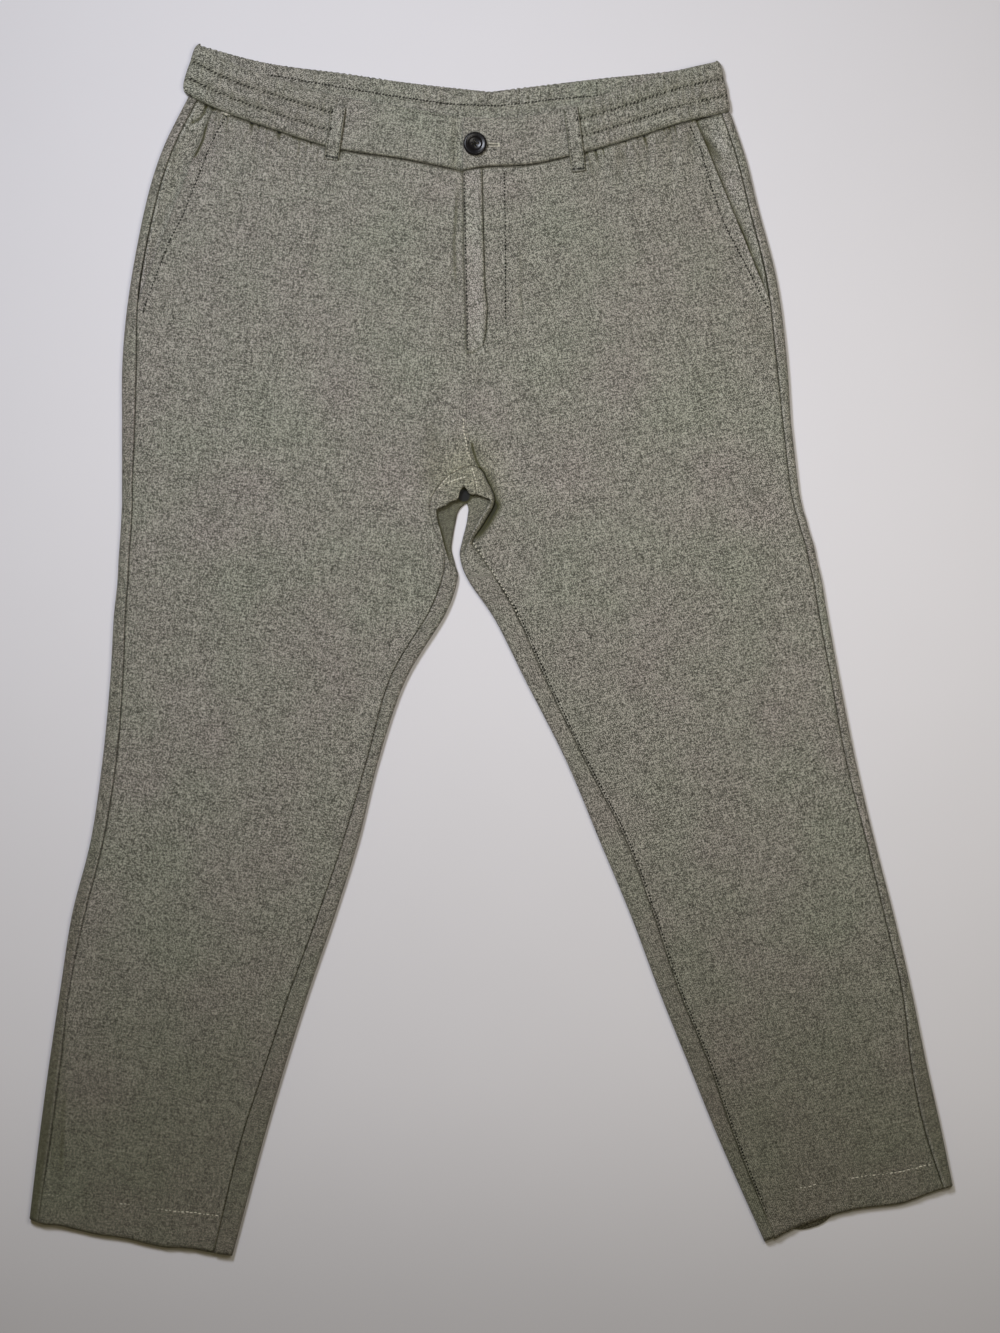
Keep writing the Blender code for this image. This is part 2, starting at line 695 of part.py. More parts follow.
def turned(name, profile, steps, collection, colour, roughness):
    """A solid turned about the Z axis from a profile of (radius, height), outer side down."""
    bm = bmesh.new()
    verts = [bm.verts.new((radius * MM, 0.0, height * MM)) for radius, height in profile]
    for first, second in zip(verts, verts[1:]):
        bm.edges.new((first, second))
    mesh = bpy.data.meshes.new(name)
    bm.to_mesh(mesh)
    bm.free()
    made = new_object(name, mesh, collection, colour, roughness)
    screw = made.modifiers.new("turn", "SCREW")
    screw.steps = steps
    screw.render_steps = steps
    screw.use_merge_vertices = True
    screw.merge_threshold = 0.0001 * MM
    return made


def make_button(collection, cutters):
    """A raised rim, a dished middle and four sewing holes."""
    profile = (
        (0.0, 2.3),
        (4.2, 2.3),
        (5.6, 2.7),
        (7.0, BUTTON_THICK),
        (8.6, BUTTON_THICK),
        (9.7, 2.8),
        (BUTTON_RADIUS, 1.8),
        (9.4, 0.6),
        (8.0, 0.0),
        (0.0, 0.0),
    )
    button = turned("button", profile, 24, collection, BUTTON_BLACK, 0.2)
    button.location = (*np.array(BUTTON_PLACE) * MM, BUTTON_BASE * MM)
    for k in range(4):
        angle = math.radians(45 + 90 * k)
        reach = BUTTON_HOLE_SPACING
        place = np.array([*BUTTON_PLACE, BUTTON_BASE])
        place += (reach * math.cos(angle), reach * math.sin(angle), BUTTON_THICK / 2)
        bm = bmesh.new()
        bmesh.ops.create_cone(bm, cap_ends=True, segments=10, radius1=BUTTON_HOLE_RADIUS * MM,
                              radius2=BUTTON_HOLE_RADIUS * MM, depth=2 * BUTTON_THICK * MM)
        bmesh.ops.translate(bm, vec=place * MM, verts=bm.verts)
        mesh = bpy.data.meshes.new(f"button_hole_cutter_{k}")
        bm.to_mesh(mesh)
        bm.free()
        cut = button.modifiers.new(f"hole_{k}", "BOOLEAN")
        cut.object = hidden_cutter(mesh.name, mesh, cutters)
        cut.operation = "DIFFERENCE"
    return button


def make_shank(collection):
    """The wound thread that stands on the underlap and holds the button."""
    foot = UNDERLAP_TOP + SEAM_GAP
    height = BUTTON_BASE - SEAM_GAP - foot
    mesh = bpy.data.meshes.new("button_shank")
    bm = bmesh.new()
    bmesh.ops.create_cone(bm, cap_ends=True, segments=16, radius1=SHANK_RADIUS * MM,
                          radius2=SHANK_RADIUS * MM, depth=height * MM)
    bm.to_mesh(mesh)
    bm.free()
    shank = new_object("button_shank", mesh, collection, THREAD)
    shank.location = (*np.array(BUTTON_PLACE) * MM, (foot + height / 2) * MM)
    return shank


def build():
    for old in list(bpy.data.objects):
        bpy.data.objects.remove(old)
    parts = fresh_collection("trousers")
    cutters = fresh_collection("cutters")
    for side in ("right", "left"):
        make_front(side, parts)
        make_back(side, parts)
        make_facing(side, parts)
    make_shield(parts)
    make_elastic(parts)
    make_right_band(parts)
    make_left_band(parts, cutters)
    for name in LOOPS:
        make_loop(name, parts)
    make_button(parts, cutters)
    make_shank(parts)


build()
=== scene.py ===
# Linen-look trousers with an elastic waist, laid flat with the front up.
# +X runs to the wearer's left, +Y up to the waist and +Z up. Shapes are worked out in millimetres.
import math

import bmesh
import bpy
import numpy as np
from mathutils import Matrix, Vector
from mathutils.bvhtree import BVHTree
from mathutils.kdtree import KDTree


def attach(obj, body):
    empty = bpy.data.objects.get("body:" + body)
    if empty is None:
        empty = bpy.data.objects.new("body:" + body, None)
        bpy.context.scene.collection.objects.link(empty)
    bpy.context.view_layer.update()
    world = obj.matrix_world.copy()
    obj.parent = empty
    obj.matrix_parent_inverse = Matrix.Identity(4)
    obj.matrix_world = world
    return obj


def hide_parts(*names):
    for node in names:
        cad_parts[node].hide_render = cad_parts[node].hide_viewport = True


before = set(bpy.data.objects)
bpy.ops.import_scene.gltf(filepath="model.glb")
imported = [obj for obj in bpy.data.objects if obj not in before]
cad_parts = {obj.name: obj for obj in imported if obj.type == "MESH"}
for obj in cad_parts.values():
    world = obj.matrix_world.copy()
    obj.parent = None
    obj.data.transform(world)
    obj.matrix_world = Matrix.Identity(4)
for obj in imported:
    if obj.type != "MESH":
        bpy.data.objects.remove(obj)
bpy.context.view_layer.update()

mm = 0.001
sides = ("right", "left")

# Camera, floor and lights

studio = {
    "cameraHeight": 2000,
    "lens": 63.5,
    "centre": (8.1, -14.9),
    "floorSize": 6000,
    "floorDrop": 0.25,      # the floor lies this far below the cloth
    "floorTone": (0.70, 0.685, 0.715),
    "floorGrain": (0.985, 1.015),
    # painted light and shade on the floor: two stretches of Y over which its tone changes, with the
    # share before and after
    "floorPaintedFalloff": ((-620, -330, 0.89, 1.07), (-50, 500, 1.0, 0.925)),
    # place, aim, size, power and tone
    "lamps": {
        "key": ((-500, 800, 1200), (1190, -900, 0), 400, 16.3, (0.935, 0.975, 1.085)),
        "fill": ((340, 190, 1000), (270, 60, 0), 500, 4.0, (1.04, 1.0, 0.92)),
    },
    "ambient": 0.110,
    "ambientTone": (1.16, 1.0, 0.56),
    "backdrop": (0.36, 0.355, 0.36),    # what a low camera sees beyond the floor
}


def addObject(name, data):
    added = bpy.data.objects.new(name, data)
    bpy.context.scene.collection.objects.link(added)
    return added


def takeMesh(bm, mesh):
    # ends a bmesh, in a mesh that is given or in a new one of that name
    if isinstance(mesh, str):
        mesh = bpy.data.meshes.new(mesh)
    bm.to_mesh(mesh)
    bm.free()
    return mesh


def addCamera():
    data = bpy.data.cameras.new("camera")
    data.lens = studio["lens"]
    camera = addObject("camera", data)
    camera.location = Vector((*studio["centre"], studio["cameraHeight"])) * mm
    bpy.context.scene.camera = camera


def addLamps():
    for name, (place, aim, size, power, tone) in studio["lamps"].items():
        data = bpy.data.lights.new(name, "AREA")
        data.shape = "SQUARE"
        data.size = size * mm
        data.energy = power
        data.color = tone
        lamp = addObject(name, data)
        lamp.location = Vector(place) * mm
        lamp.rotation_euler = (Vector(aim) - Vector(place)).to_track_quat("-Z", "Y").to_euler()


def addSky():
    # the sky lights the cloth, and a low camera sees the backdrop in its place
    world = bpy.data.worlds.new("studio")
    world.use_nodes = True
    nodes, links = world.node_tree.nodes, world.node_tree.links
    sky = nodes["Background"]
    backdrop, rays, mix = (nodes.new("ShaderNode" + kind)
                           for kind in ("Background", "LightPath", "MixShader"))
    sky.inputs["Color"].default_value = (*studio["ambientTone"], 1.0)
    sky.inputs["Strength"].default_value = studio["ambient"]
    backdrop.inputs["Color"].default_value = (*studio["backdrop"], 1.0)
    for k, output in enumerate((rays.outputs["Is Camera Ray"], sky.outputs[0],
                                backdrop.outputs[0])):
        links.new(output, mix.inputs[k])
    links.new(mix.outputs[0], nodes["World Output"].inputs["Surface"])
    bpy.context.scene.world = world
    bpy.context.scene.view_settings.view_transform = "Standard"
    bpy.context.scene.view_settings.look = "None"


# Finishes

class Wire:
    # an output socket; arithmetic on it adds Math nodes
    def __init__(self, maker, socket):
        self.maker, self.socket = maker, socket

    def __add__(self, other): return self.maker.math("ADD", self, other)
    def __radd__(self, other): return self.maker.math("ADD", other, self)
    def __sub__(self, other): return self.maker.math("SUBTRACT", self, other)
    def __rsub__(self, other): return self.maker.math("SUBTRACT", other, self)
    def __mul__(self, other): return self.maker.math("MULTIPLY", self, other)
    def __truediv__(self, other): return self.maker.math("DIVIDE", self, other)


class Finish:
    # one material; its nodes are added by kind, socket values and settings
    def __init__(self, name, **shaderValues):
        self.material = bpy.data.materials.new(name)
        self.material.use_nodes = True
        self.tree = self.material.node_tree
        self.shader = self.tree.nodes["Principled BSDF"]
        for socket, value in shaderValues.items():
            self.shader.inputs[socket.replace("_", " ")].default_value = value
        self.place = self.node("TexCoord", {}, 3)

    def node(self, kind, inputs, output=0, **settings):
        made = self.tree.nodes.new("ShaderNode" + kind)
        for key, value in settings.items():
            setattr(made, key, value)
        for key, value in inputs.items():
            if isinstance(value, Wire):
                self.tree.links.new(value.socket, made.inputs[key])
            else:
                made.inputs[key].default_value = value
        return Wire(self, made.outputs[output])

    def math(self, operation, *values):
        return self.node("Math", dict(enumerate(values)), operation=operation)

    def blend(self, factor, *colours, kind="MIX"):
        first, second = (colour if isinstance(colour, Wire) else (*colour, 1.0)
                         for colour in colours)
        return self.node("Mix", {0: factor, 6: first, 7: second}, 2, data_type="RGBA",
                         blend_type=kind)

    def times(self, first, second):
        return self.blend(1.0, first, second, kind="MULTIPLY")

    def ramp(self, factor, stops):
        wire = self.node("ValToRGB", {0: factor})
        elements = wire.socket.node.color_ramp.elements
        while len(elements) < len(stops):
            elements.new(0.5)
        for element, (place, colour) in zip(elements, stops):
            element.position = place
            element.color = (*colour, 1.0)
        return wire

    def spread(self, value, low, high, first=0.0, last=1.0, kind="LINEAR"):
        return self.node("MapRange", {0: value, 1: low, 2: high, 3: first, 4: last},
                         interpolation_type=kind)

    def point(self, x, y, z=0.0):
        return self.node("CombineXYZ", {0: x, 1: y, 2: z})

    def noise(self, vector, scale, detail=2.0, roughness=0.5):
        return self.node("TexNoise", {"Vector": vector, "Scale": scale, "Detail": detail,
                                      "Roughness": roughness})

    def feed(self, socket, wire):
        self.tree.links.new(wire.socket, self.shader.inputs[socket])

    def bump(self, height, strength, distance):
        self.feed("Normal", self.node("Bump", {"Strength": strength, "Distance": distance,
                                               "Height": height}))


weave = {
    "yarn": 0.50,            # mm from one yarn to the next
    "repeat": 4.0,           # crossings in one repeat of the twill
    "float": 2.0,            # of which this many show the warp
    "driftSize": 38.0,       # the yarns drift off their straight lines
    "drift": 1.6,
    "warpTone": 0.39,        # share of the light colour on a warp float
    "weftTone": 0.61,
    "yarnSteps": (0.618, 2.37),     # from one yarn's noise to the next one's
    "yarnRun": 0.04,
    "yarnContrast": 1.56,
    "fleckContrast": 1.15,
    "slubContrast": 1.12,
    "slubSize": 620.0,
    "patchContrast": 0.20,
    "patchSize": 55.0,
    # painted shade between the yarns: the tone darkens away from each float's crown
    "crownContrast": 0.30,
    "crownMean": 0.72,
    "dark": (0.039, 0.038, 0.029),
    "middle": (0.158, 0.152, 0.130),
    "light": (0.43, 0.412, 0.368),
    "middlePlace": 0.47,
    "bump": 0.55,
    "relief": 0.00007,
    "shadeDulls": 1.1,       # how far a shaded place loses contrast and blue
    "shadeWarms": 1.22,
    "rippleSize": 300.0,     # painted shade in the creases where an elastic gathers the cloth
    "rippleStretch": 0.13,
    "rippleRange": (0.53, 0.68),
    "castSize": 11.0,        # the cloth's cast drifts between rosy and green
    "castRange": (0.33, 0.67),
    "rosyCast": (1.04, 0.992, 0.99),
    "greenCast": (0.965, 1.01, 0.925),
    "mossPlace": (-22.0, 146.0, 4.0),   # the cloth is mossier where it gathers at the crotch
    "mossReach": 52.0,
    "mossTint": (1.0, 1.01, 0.85),
}


def linenFinish(name, tint=(1.0, 1.0, 1.0), contrast=1.0):
    made = Finish(name, Sheen_Weight=0.12, Sheen_Roughness=0.5, Specular_IOR_Level=0.36)
    uv = made.node("UVMap", {})
    right, down = (made.node("SeparateXYZ", {0: uv}, k) for k in (0, 1))
    drift = made.noise(uv, weave["driftSize"], 1.0) * weave["drift"]
    u, v = (way * (1 / (weave["yarn"] * mm)) + drift for way in (right, down))
    warp, weft = (made.math("FLOOR", way) for way in (u, v))
    alongU, alongV = (made.math("FRACT", way) for way in (u, v))
    step = made.math("FLOORED_MODULO", warp + weft, weave["repeat"])
    warpShows = made.math("LESS_THAN", step, weave["float"])

    def shown(onWarp, onWeft):
        return warpShows * onWarp + (1 - warpShows) * onWeft

    run = shown((step + alongV) / weave["float"],
                (step - weave["float"] + alongU) / weave["float"])
    crown = (made.math("SQRT", made.math("SINE", shown(alongU, alongV) * math.pi))
             * (0.5 + made.math("SINE", run * math.pi) * 0.5))
    small, large = weave["yarnSteps"]
    yarn = shown(
        made.noise(made.point(warp * small, v * weave["yarnRun"] + warp * large), 1.0, 1.0),
        made.noise(made.point(u * weave["yarnRun"] + weft * large, weft * small, 7.3), 1.0, 1.0))
    course = made.math("FLOOR", (warp + weft) / weave["repeat"])
    fleck = made.node("TexWhiteNoise", {"Vector": made.point(shown(warp, weft + 517.3), course)},
                      noise_dimensions="2D")
    slub = made.noise(made.point(right, down, 3.1), weave["slubSize"], 2.0, 0.7)
    patch = made.noise(uv, weave["patchSize"], 3.0)
    # shade and gather carry painted shade; gather sets how much of it falls in the gathers' creases
    painted, gather = (made.node("Attribute", {}, 2, attribute_name=key)
                       for key in ("shade", "gather"))
    ripples = made.noise(made.point(right, down * weave["rippleStretch"], 5.7),
                         weave["rippleSize"], 1.0)
    shade = painted + gather * made.spread(ripples, *weave["rippleRange"])
    dulled = contrast - made.math("MAXIMUM", shade, 0.0) * weave["shadeDulls"]
    base = warpShows * (weave["warpTone"] - weave["weftTone"]) + weave["weftTone"]
    # the crown term paints shade between the yarns
    tone = base + dulled * ((yarn - 0.5) * weave["yarnContrast"]
                            + (fleck - 0.5) * weave["fleckContrast"]
                            + (slub - 0.5) * weave["slubContrast"]
                            + (patch - 0.5) * weave["patchContrast"]
                            + (crown - weave["crownMean"]) * weave["crownContrast"])
    dark, middle, light = ([c * t for c, t in zip(weave[key], tint)]
                           for key in ("dark", "middle", "light"))
    colour = made.ramp(tone, ((0.0, dark), (weave["middlePlace"], middle), (1.0, light)))
    drifted = made.blend(made.spread(made.noise(uv, weave["castSize"], 2.0), *weave["castRange"]),
                         weave["rosyCast"], weave["greenCast"])
    away = made.node("VectorMath", {0: made.place, 1: Vector(weave["mossPlace"]) * mm}, 1,
                     operation="DISTANCE")
    nearness = made.spread(away, weave["mossReach"] * mm, 0.0, kind="SMOOTHSTEP")
    mossy = made.blend(nearness, drifted, weave["mossTint"])
    shadow = made.point(1 - shade, 1 - shade, 1 - shade * weave["shadeWarms"])
    made.feed("Base Color", made.times(made.times(colour, mossy), shadow))
    made.feed("Roughness", 0.72 - tone * 0.16)
    made.bump(crown + tone * 0.3, weave["bump"], weave["relief"])
    return made.material


def threadFinish(name, colour):
    made = Finish(name, Specular_IOR_Level=0.15)
    tone = made.noise(made.place, 900.0)
    low, high = ([min(c * share, 1.0) for c in colour] for share in (0.7, 1.3))
    made.feed("Base Color", made.blend(tone, low, high))
    made.feed("Roughness", 0.7 + tone * 0.2)
    made.bump(made.noise(made.place, 2600.0, 1.0), 0.4, 0.0001)
    return made.material


def buttonFinish():
    made = Finish("blackHorn", Specular_IOR_Level=0.26, Coat_Roughness=0.12)
    cloud = made.noise(made.place, 240.0, 3.0)
    made.feed("Base Color", made.blend(cloud, (0.0030, 0.0027, 0.0036), (0.0095, 0.0085, 0.0105)))
    made.feed("Roughness", 0.20 + cloud * 0.14)
    made.feed("Coat Weight", 0.04 + cloud * 0.10)
    made.bump(made.noise(made.place, 1500.0), 0.06, 0.0002)
    return made.material


def floorFinish():
    made = Finish("paleFloor", Specular_IOR_Level=0.15)
    tone = made.noise(made.place, 9.0, 4.0, 0.6)
    low, high = ([c * share for c in studio["floorTone"]] for share in studio["floorGrain"])
    up = made.node("SeparateXYZ", {0: made.place}, 1)
    # the floor's tone carries painted light and shade along Y
    near, far = (made.spread(up, begin * mm, end * mm, first, last, "SMOOTHSTEP")
                 for begin, end, first, last in studio["floorPaintedFalloff"])
    lit = near * far
    made.feed("Base Color", made.times(made.blend(tone, low, high), made.point(lit, lit, lit)))
    made.feed("Roughness", 0.8 + tone * 0.1)
    return made.material


def addFloor():
    bm = bmesh.new()
    bmesh.ops.create_grid(bm, x_segments=1, y_segments=1, size=studio["floorSize"] / 2 * mm)
    bmesh.ops.translate(bm, verts=bm.verts, vec=(0.0, 0.0, -studio["floorDrop"] * mm))
    floor = addObject("floor", takeMesh(bm, "floor"))
    floor.data.materials.append(floorFinish())


addCamera()
addLamps()
addSky()
addFloor()
linen = linenFinish("linenCloth")
# the band's finish is a little darker and greener than the cloth: partly its own tint, partly
# painted shade for the lamps' brightness at the waist
linenBand = linenFinish("linenBand", (0.97, 0.98, 0.965))
linenBack = linenFinish("linenBack", (0.965, 0.955, 0.955), 0.9)
# the dark thread is darker than thread alone: it carries painted shade for the holes it passes
# through
darkThreadWithShade = threadFinish("oliveThreadWithShade", (0.010, 0.010, 0.007))
paleThread = threadFinish("paleThread", (0.66, 0.63, 0.52))
dullThread = threadFinish("dullThread", (0.21, 0.205, 0.165))
softThread = threadFinish("softThread", (0.024, 0.023, 0.017))
print("studio and finishes ready")

# The garment's sections

garment = {
    "wall": 0.6,          # mm, one layer of cloth
    "hemWall": 1.5,
    "foldHeight": 6.0,    # rolled folds along the leg edges
    "laidHeight": 4.9,    # fronts, well away from a fold
    "settle": 25.0,
    "seamGap": 0.12,
    "waistGap": 0.35,
    "waistFade": 2.4,     # sections over which the waist seam's curve dies away
    "hemPlace": 0.38,     # of the last section, where the hem's stitches run
    "seatCells": (16, 16, 24, 34, 20, 17),
    "legCells": (14, 8, 7, 8, 9, 9, 8, 10, 15, 18, 18, 17, 17, 17, 17, 24),
}
halfGap = garment["seamGap"] / 2
outwardSign = {"right": -1, "left": 1}
grain = {"right": -9.7, "left": 14.0}       # degrees that the cloth's length leans
twill = {"right": 1, "left": -1}            # which way its diagonal runs

# Each seat section runs from the outer fold to the centre front and to the centre back; side is how
# far in from the fold the side seam lies.
seatSections = {
    "columns": "outerX outerY side",
    "right": ((-256.5, 469, 7.5), (-278.5, 424, 8), (-293, 376.5, 8), (-306.5, 305, 8),
              (-312.5, 245.5, 12), (-313, 186, 11), (-313, 137.5, 9)),
    "left": ((203.5, 455.5, 7), (217, 415.5, 7), (226.5, 376.5, 7), (242.5, 315.5, 8),
             (251, 254, 9), (255.5, 190.5, 7), (262, 133.5, 7)),
}
centreSections = {
    "columns": "endX endY backX backY",
    "both": ((-23.5, 405.5, -0.5, 428.5), (-23, 369, -4, 381.5), (-22.5, 329, -7, 329),
             (-21, 281.5, -11.5, 271), (-20, 237, -15, 216), (-20, 190.5, -18.5, 169),
             (-15.5, 155.5, -20.5, 123.7)),
}
pocketMouth = {"right": ((-236, 462), (-298.5, 296.5)), "left": ((174.5, 448), (236.5, 296))}

# Each leg section runs from the outer fold to the inner one; the back wraps round to the inseam.
legSections = {
    "columns": "outerX outerY side innerX innerY endX endY",
    "right": (
        (-313, 137.5, 9, -20.5, 123.7, -15.5, 155.5), (-313, 130, 9, -25.2, 119.8, -25, 153),
        (-313, 121.5, 9, -27.8, 115.5, -35.5, 147), (-313.5, 112, 9, -29.5, 108, -44.5, 137.5),
        (-314, 102, 9, -31.5, 97, -51.5, 122.5), (-315, 88.5, 9, -33, 85, -48, 103),
        (-316, 74, 9, -30, 72, -39.5, 82.5), (-317, 54.5, 9, -28, 58.5, -40.5, 61),
        (-320, 26.5, 10, -38.5, 29, -52.5, 30), (-323, -26.5, 11, -72, -26.5, -84.5, -24.5),
        (-329.5, -94.5, 12, -95, -94.5, -104.5, -94.5),
        (-339.5, -162.5, 11, -112, -162.5, -124.5, -162.5),
        (-355.5, -226, 11, -132, -226, -146, -226), (-365.5, -290, 8, -154, -290, -169.5, -290),
        (-375, -353.5, 10, -174.5, -354.5, -191, -354.5),
        (-383, -413, 10, -194, -421.5, -212.5, -421.5),
        (-391.5, -483.5, 8, -219, -515, -234.5, -512.5),
    ),
    "left": (
        (262, 133.5, 7, -20.5, 123.7, -15.5, 155.5), (263.5, 126.5, 7, -19.6, 122, -8, 152),
        (265.5, 118, 7, -18.9, 119, -3, 143), (268, 110.5, 7, -19.3, 113.5, 3.5, 126.5),
        (270.5, 101, 7, -20.8, 104.5, -4.5, 109), (274.5, 88.5, 7, -24, 92, -15.5, 91),
        (277.5, 74, 7, -26, 78, -10.5, 81.5), (281.5, 57, 7, -19, 58.5, 3, 61),
        (287, 24.5, 7, 4, 24.5, 24, 24.5), (296.5, -26.5, 7, 29.5, -26.5, 46.5, -26.5),
        (310, -94.5, 8, 64, -94.5, 79.5, -94.5), (326, -162.5, 7, 92.5, -162.5, 114.5, -162.5),
        (342.5, -226, 8, 119, -226, 138, -226), (357.5, -290, 8, 143, -290, 159.5, -290),
        (370.5, -353.5, 13, 168.5, -353.5, 185.5, -353.5),
        (382, -404.5, 14, 195.5, -420, 208.5, -420),
        (392.5, -455.5, 8, 232.5, -503, 241, -500.5),
    ),
}

# The slack at the crotch: the upper lobe's folded edge, the height of the lower layer that runs on
# from under it, how far in the cloth is tucked under the edge, how far the upper lobe stands above
# the laid height, and how far the inseam is sunk beside it.
crotchSections = {
    "columns": "place edgeX edgeY lower tuck lift sunk",
    "right": (
        (0, -11.5, 130.5, 1.4, 7, 1.1, 0.2), (0.3, -18, 131.5, 1.4, 5, 1.1, 0.2),
        (0.5, -21.8, 137.2, 1.4, 4, 1, 0.2), (0.75, -25.8, 133.5, 1.5, 6, 1, 0.2),
        (1, -27.6, 126.7, 1.8, 9, 1, 0.2), (1.35, -32.5, 124.8, 2.2, 8, 1, 0.2),
        (2, -38, 121, 2.2, 8, 0.9, 0.1), (3, -47, 115.5, 2.2, 6, 1, 0),
        (4, -42.5, 100.5, 2.4, 4, 1, 0.1), (5, -39, 87, 2.8, 3.5, 0.8, 0.1),
        (6, -34.5, 71.5, 4.6, 1, 0.2, 0),
    ),
    "left": (
        (0, -11.5, 130.5, 1.4, 7, 1.1, 0.4), (0.5, -9.5, 129.7, 1.8, 8, 1.1, 0.8),
        (1, -7.5, 129, 2, 8, 1.1, 1.3), (2, -3.5, 127.5, 2.4, 8, 1.1, 2.4),
        (3, -0.5, 124.5, 2.8, 6, 1.1, 3.1), (4, -9, 110.5, 3, 5, 1, 2.9),
        (5, -18.5, 92, 3.4, 3, 0.7, 1.6), (6, -21.5, 77.5, 4.6, 1, 0.3, 0.4),
    ),
}

# How far the hem's edge leaves the straight line between its corners, by share from the outer one,
# on the front and on the back.
hemBow = {
    "columns": "share front back",
    "right": ((0, 0, 0), (0.08, -2.6, -1.6), (0.15, -1.4, -0.4), (0.27, -2.3, -1.2),
              (0.37, -3, -1.9), (0.52, -1.9, -0.8), (0.64, -3, -1.9), (0.74, -3.2, -2.1),
              (0.84, -0.8, 0.2), (1, 0, 0)),
    "left": ((0, 0, 0), (0.12, -0.4, 0.4), (0.28, -2.3, -1), (0.44, 1.7, 2.8),
             (0.545, 4.3, 5.2), (0.63, 5, 4.6), (0.68, 5, 0.4), (0.74, 4.8, -0.9),
             (0.81, 4.3, 0.4), (0.866, 4, 3.6), (1, 0, 0)),
}
hemBowReach = 55.0  # mm above the hem over which its bow dies away


def readTable(table, side):
    return dict(zip(table["columns"].split(), np.array(table[side], float).T))


def points(table, name):
    return np.stack([table[name + "X"], table[name + "Y"]], axis=-1)


def smoothLine(x, knots, values):
    x = np.clip(x, knots[0], knots[-1])
    slopes = np.gradient(values, knots)
    k = np.clip(np.searchsorted(knots, x) - 1, 0, len(knots) - 2)
    width = knots[k + 1] - knots[k]
    t = (x - knots[k]) / width
    start = values[k] * (1 + 2 * t) * (1 - t) ** 2 + slopes[k] * width * t * (1 - t) ** 2
    end = values[k + 1] * (3 - 2 * t) * t ** 2 - slopes[k + 1] * width * t ** 2 * (1 - t)
    return start + end


def easeStep(x, low, high):
    t = np.clip((np.asarray(x, float) - low) / (high - low), 0.0, 1.0)
    return t * t * (3 - 2 * t)


def fadedEnds(share, fade):
    return easeStep(share, 0, fade) * easeStep(1 - share, 0, fade)


def bell(distance, width):
    return np.exp(-(np.asarray(distance, float) / width) ** 2)


def lengthOf(vectors):
    return np.linalg.norm(vectors, axis=-1)


def unit(vectors):
    return vectors / np.linalg.norm(vectors, axis=-1, keepdims=True)


def runLength(line):
    # how far along a line each of its points lies
    return np.append(0.0, np.cumsum(lengthOf(np.diff(line, axis=0))))


def pointsAt(line, along, want):
    return np.column_stack([np.interp(want, along, column) for column in line.T])


def awayNormals(line, awayFrom):
    tangent = np.gradient(line, axis=0)
    normal = unit(np.stack([tangent[:, 1], -tangent[:, 0]], axis=1))
    return normal * np.sign(np.sum(normal * (line - awayFrom), axis=1))[:, None]


def waves(x, y, seed, wavelength, heading=None, spread=0.45, count=8):
    # irregular soft ripples of about unit height; heading is the way their crests are crossed
    draw = np.random.default_rng(seed)
    total = np.zeros(np.broadcast(x, y).shape)
    for _ in range(count):
        angle = draw.uniform(0, math.pi) if heading is None else heading + draw.normal(0, 0.22)
        length = wavelength * draw.uniform(1 - spread, 1 + spread)
        phase = draw.uniform(0, 2 * math.pi)
        total += np.sin(2 * math.pi * (x * math.cos(angle) + y * math.sin(angle)) / length + phase)
    return total / math.sqrt(count)


def placesFor(cells):
    parts = [k + np.arange(count) / count for k, count in enumerate(cells)]
    return np.append(np.concatenate(parts), float(len(cells)))


def mouthInset(side, start, end, seam):
    top, bottom = np.array(pocketMouth[side])
    if start[1] < bottom[1]:
        return seam
    along = np.column_stack([unit(end - start), top - bottom])
    return max(np.linalg.solve(along, top - start)[0], seam)


def readSeat(side):
    # the last section only steers the way that the rows run out to it
    table = readTable(seatSections, side) | readTable(centreSections, "both")
    places = placesFor(garment["seatCells"])
    knots = np.arange(len(garment["seatCells"]), dtype=float)
    blendIn = easeStep(places, knots[-1] - 0.25, knots[-1] + 0.4)
    out = {}
    for name, column in table.items():
        last = column[-2] + (column[-1] - column[-2]) * (places - knots[-1])
        out[name] = smoothLine(places, knots, column[:-1]) * (1 - blendIn) + last * blendIn
    out["place"] = places
    out["fade"] = np.clip(1 - places / garment["waistFade"], 0.0, 1.0)
    rows = zip(points(out, "outer"), points(out, "end"), out["side"])
    out["mouth"] = np.array([mouthInset(side, *row) for row in rows])
    return out


def readLeg(side):
    table = readTable(legSections, side)
    places = placesFor(garment["legCells"])
    knots = np.arange(len(table["side"]), dtype=float)
    out = {name: smoothLine(places, knots, column) for name, column in table.items()}
    slack = readTable(crotchSections, side)
    beyond = knots > slack["place"][-1]
    middle = (points(table, "inner") + points(table, "end"))[beyond] / 2
    later = {"edgeX": middle[:, 0], "edgeY": middle[:, 1],
             "lower": np.full(len(middle), garment["foldHeight"])}
    slackPlaces = np.append(slack.pop("place"), knots[beyond])
    for name, column in slack.items():
        column = np.append(column, later.get(name, np.zeros(len(middle))))
        out[name] = smoothLine(places, slackPlaces, column)
    out["lower"] = np.clip(out["lower"], 1.2, garment["foldHeight"])
    for name in ("tuck", "lift", "sunk"):
        out[name] = np.maximum(out[name], 0.0)
    out["place"] = places
    hemStart = knots[-2] + garment["hemPlace"]
    out["hem"] = easeStep(places, hemStart, hemStart + 0.05)
    return out


def joined(seatColumn, legColumn):
    # one value for each row of a whole panel; the row that both have is the leg's
    return np.concatenate([seatColumn[:-1], legColumn])


def topHeight(outer, inner=np.inf):
    near = np.minimum(outer, inner)
    beyond = np.maximum(near - garment["foldHeight"] / 2, 0.0)
    rise = garment["foldHeight"] - garment["laidHeight"]
    return garment["laidHeight"] + rise * np.exp(-((beyond / garment["settle"]) ** 2))


# Waistband lines

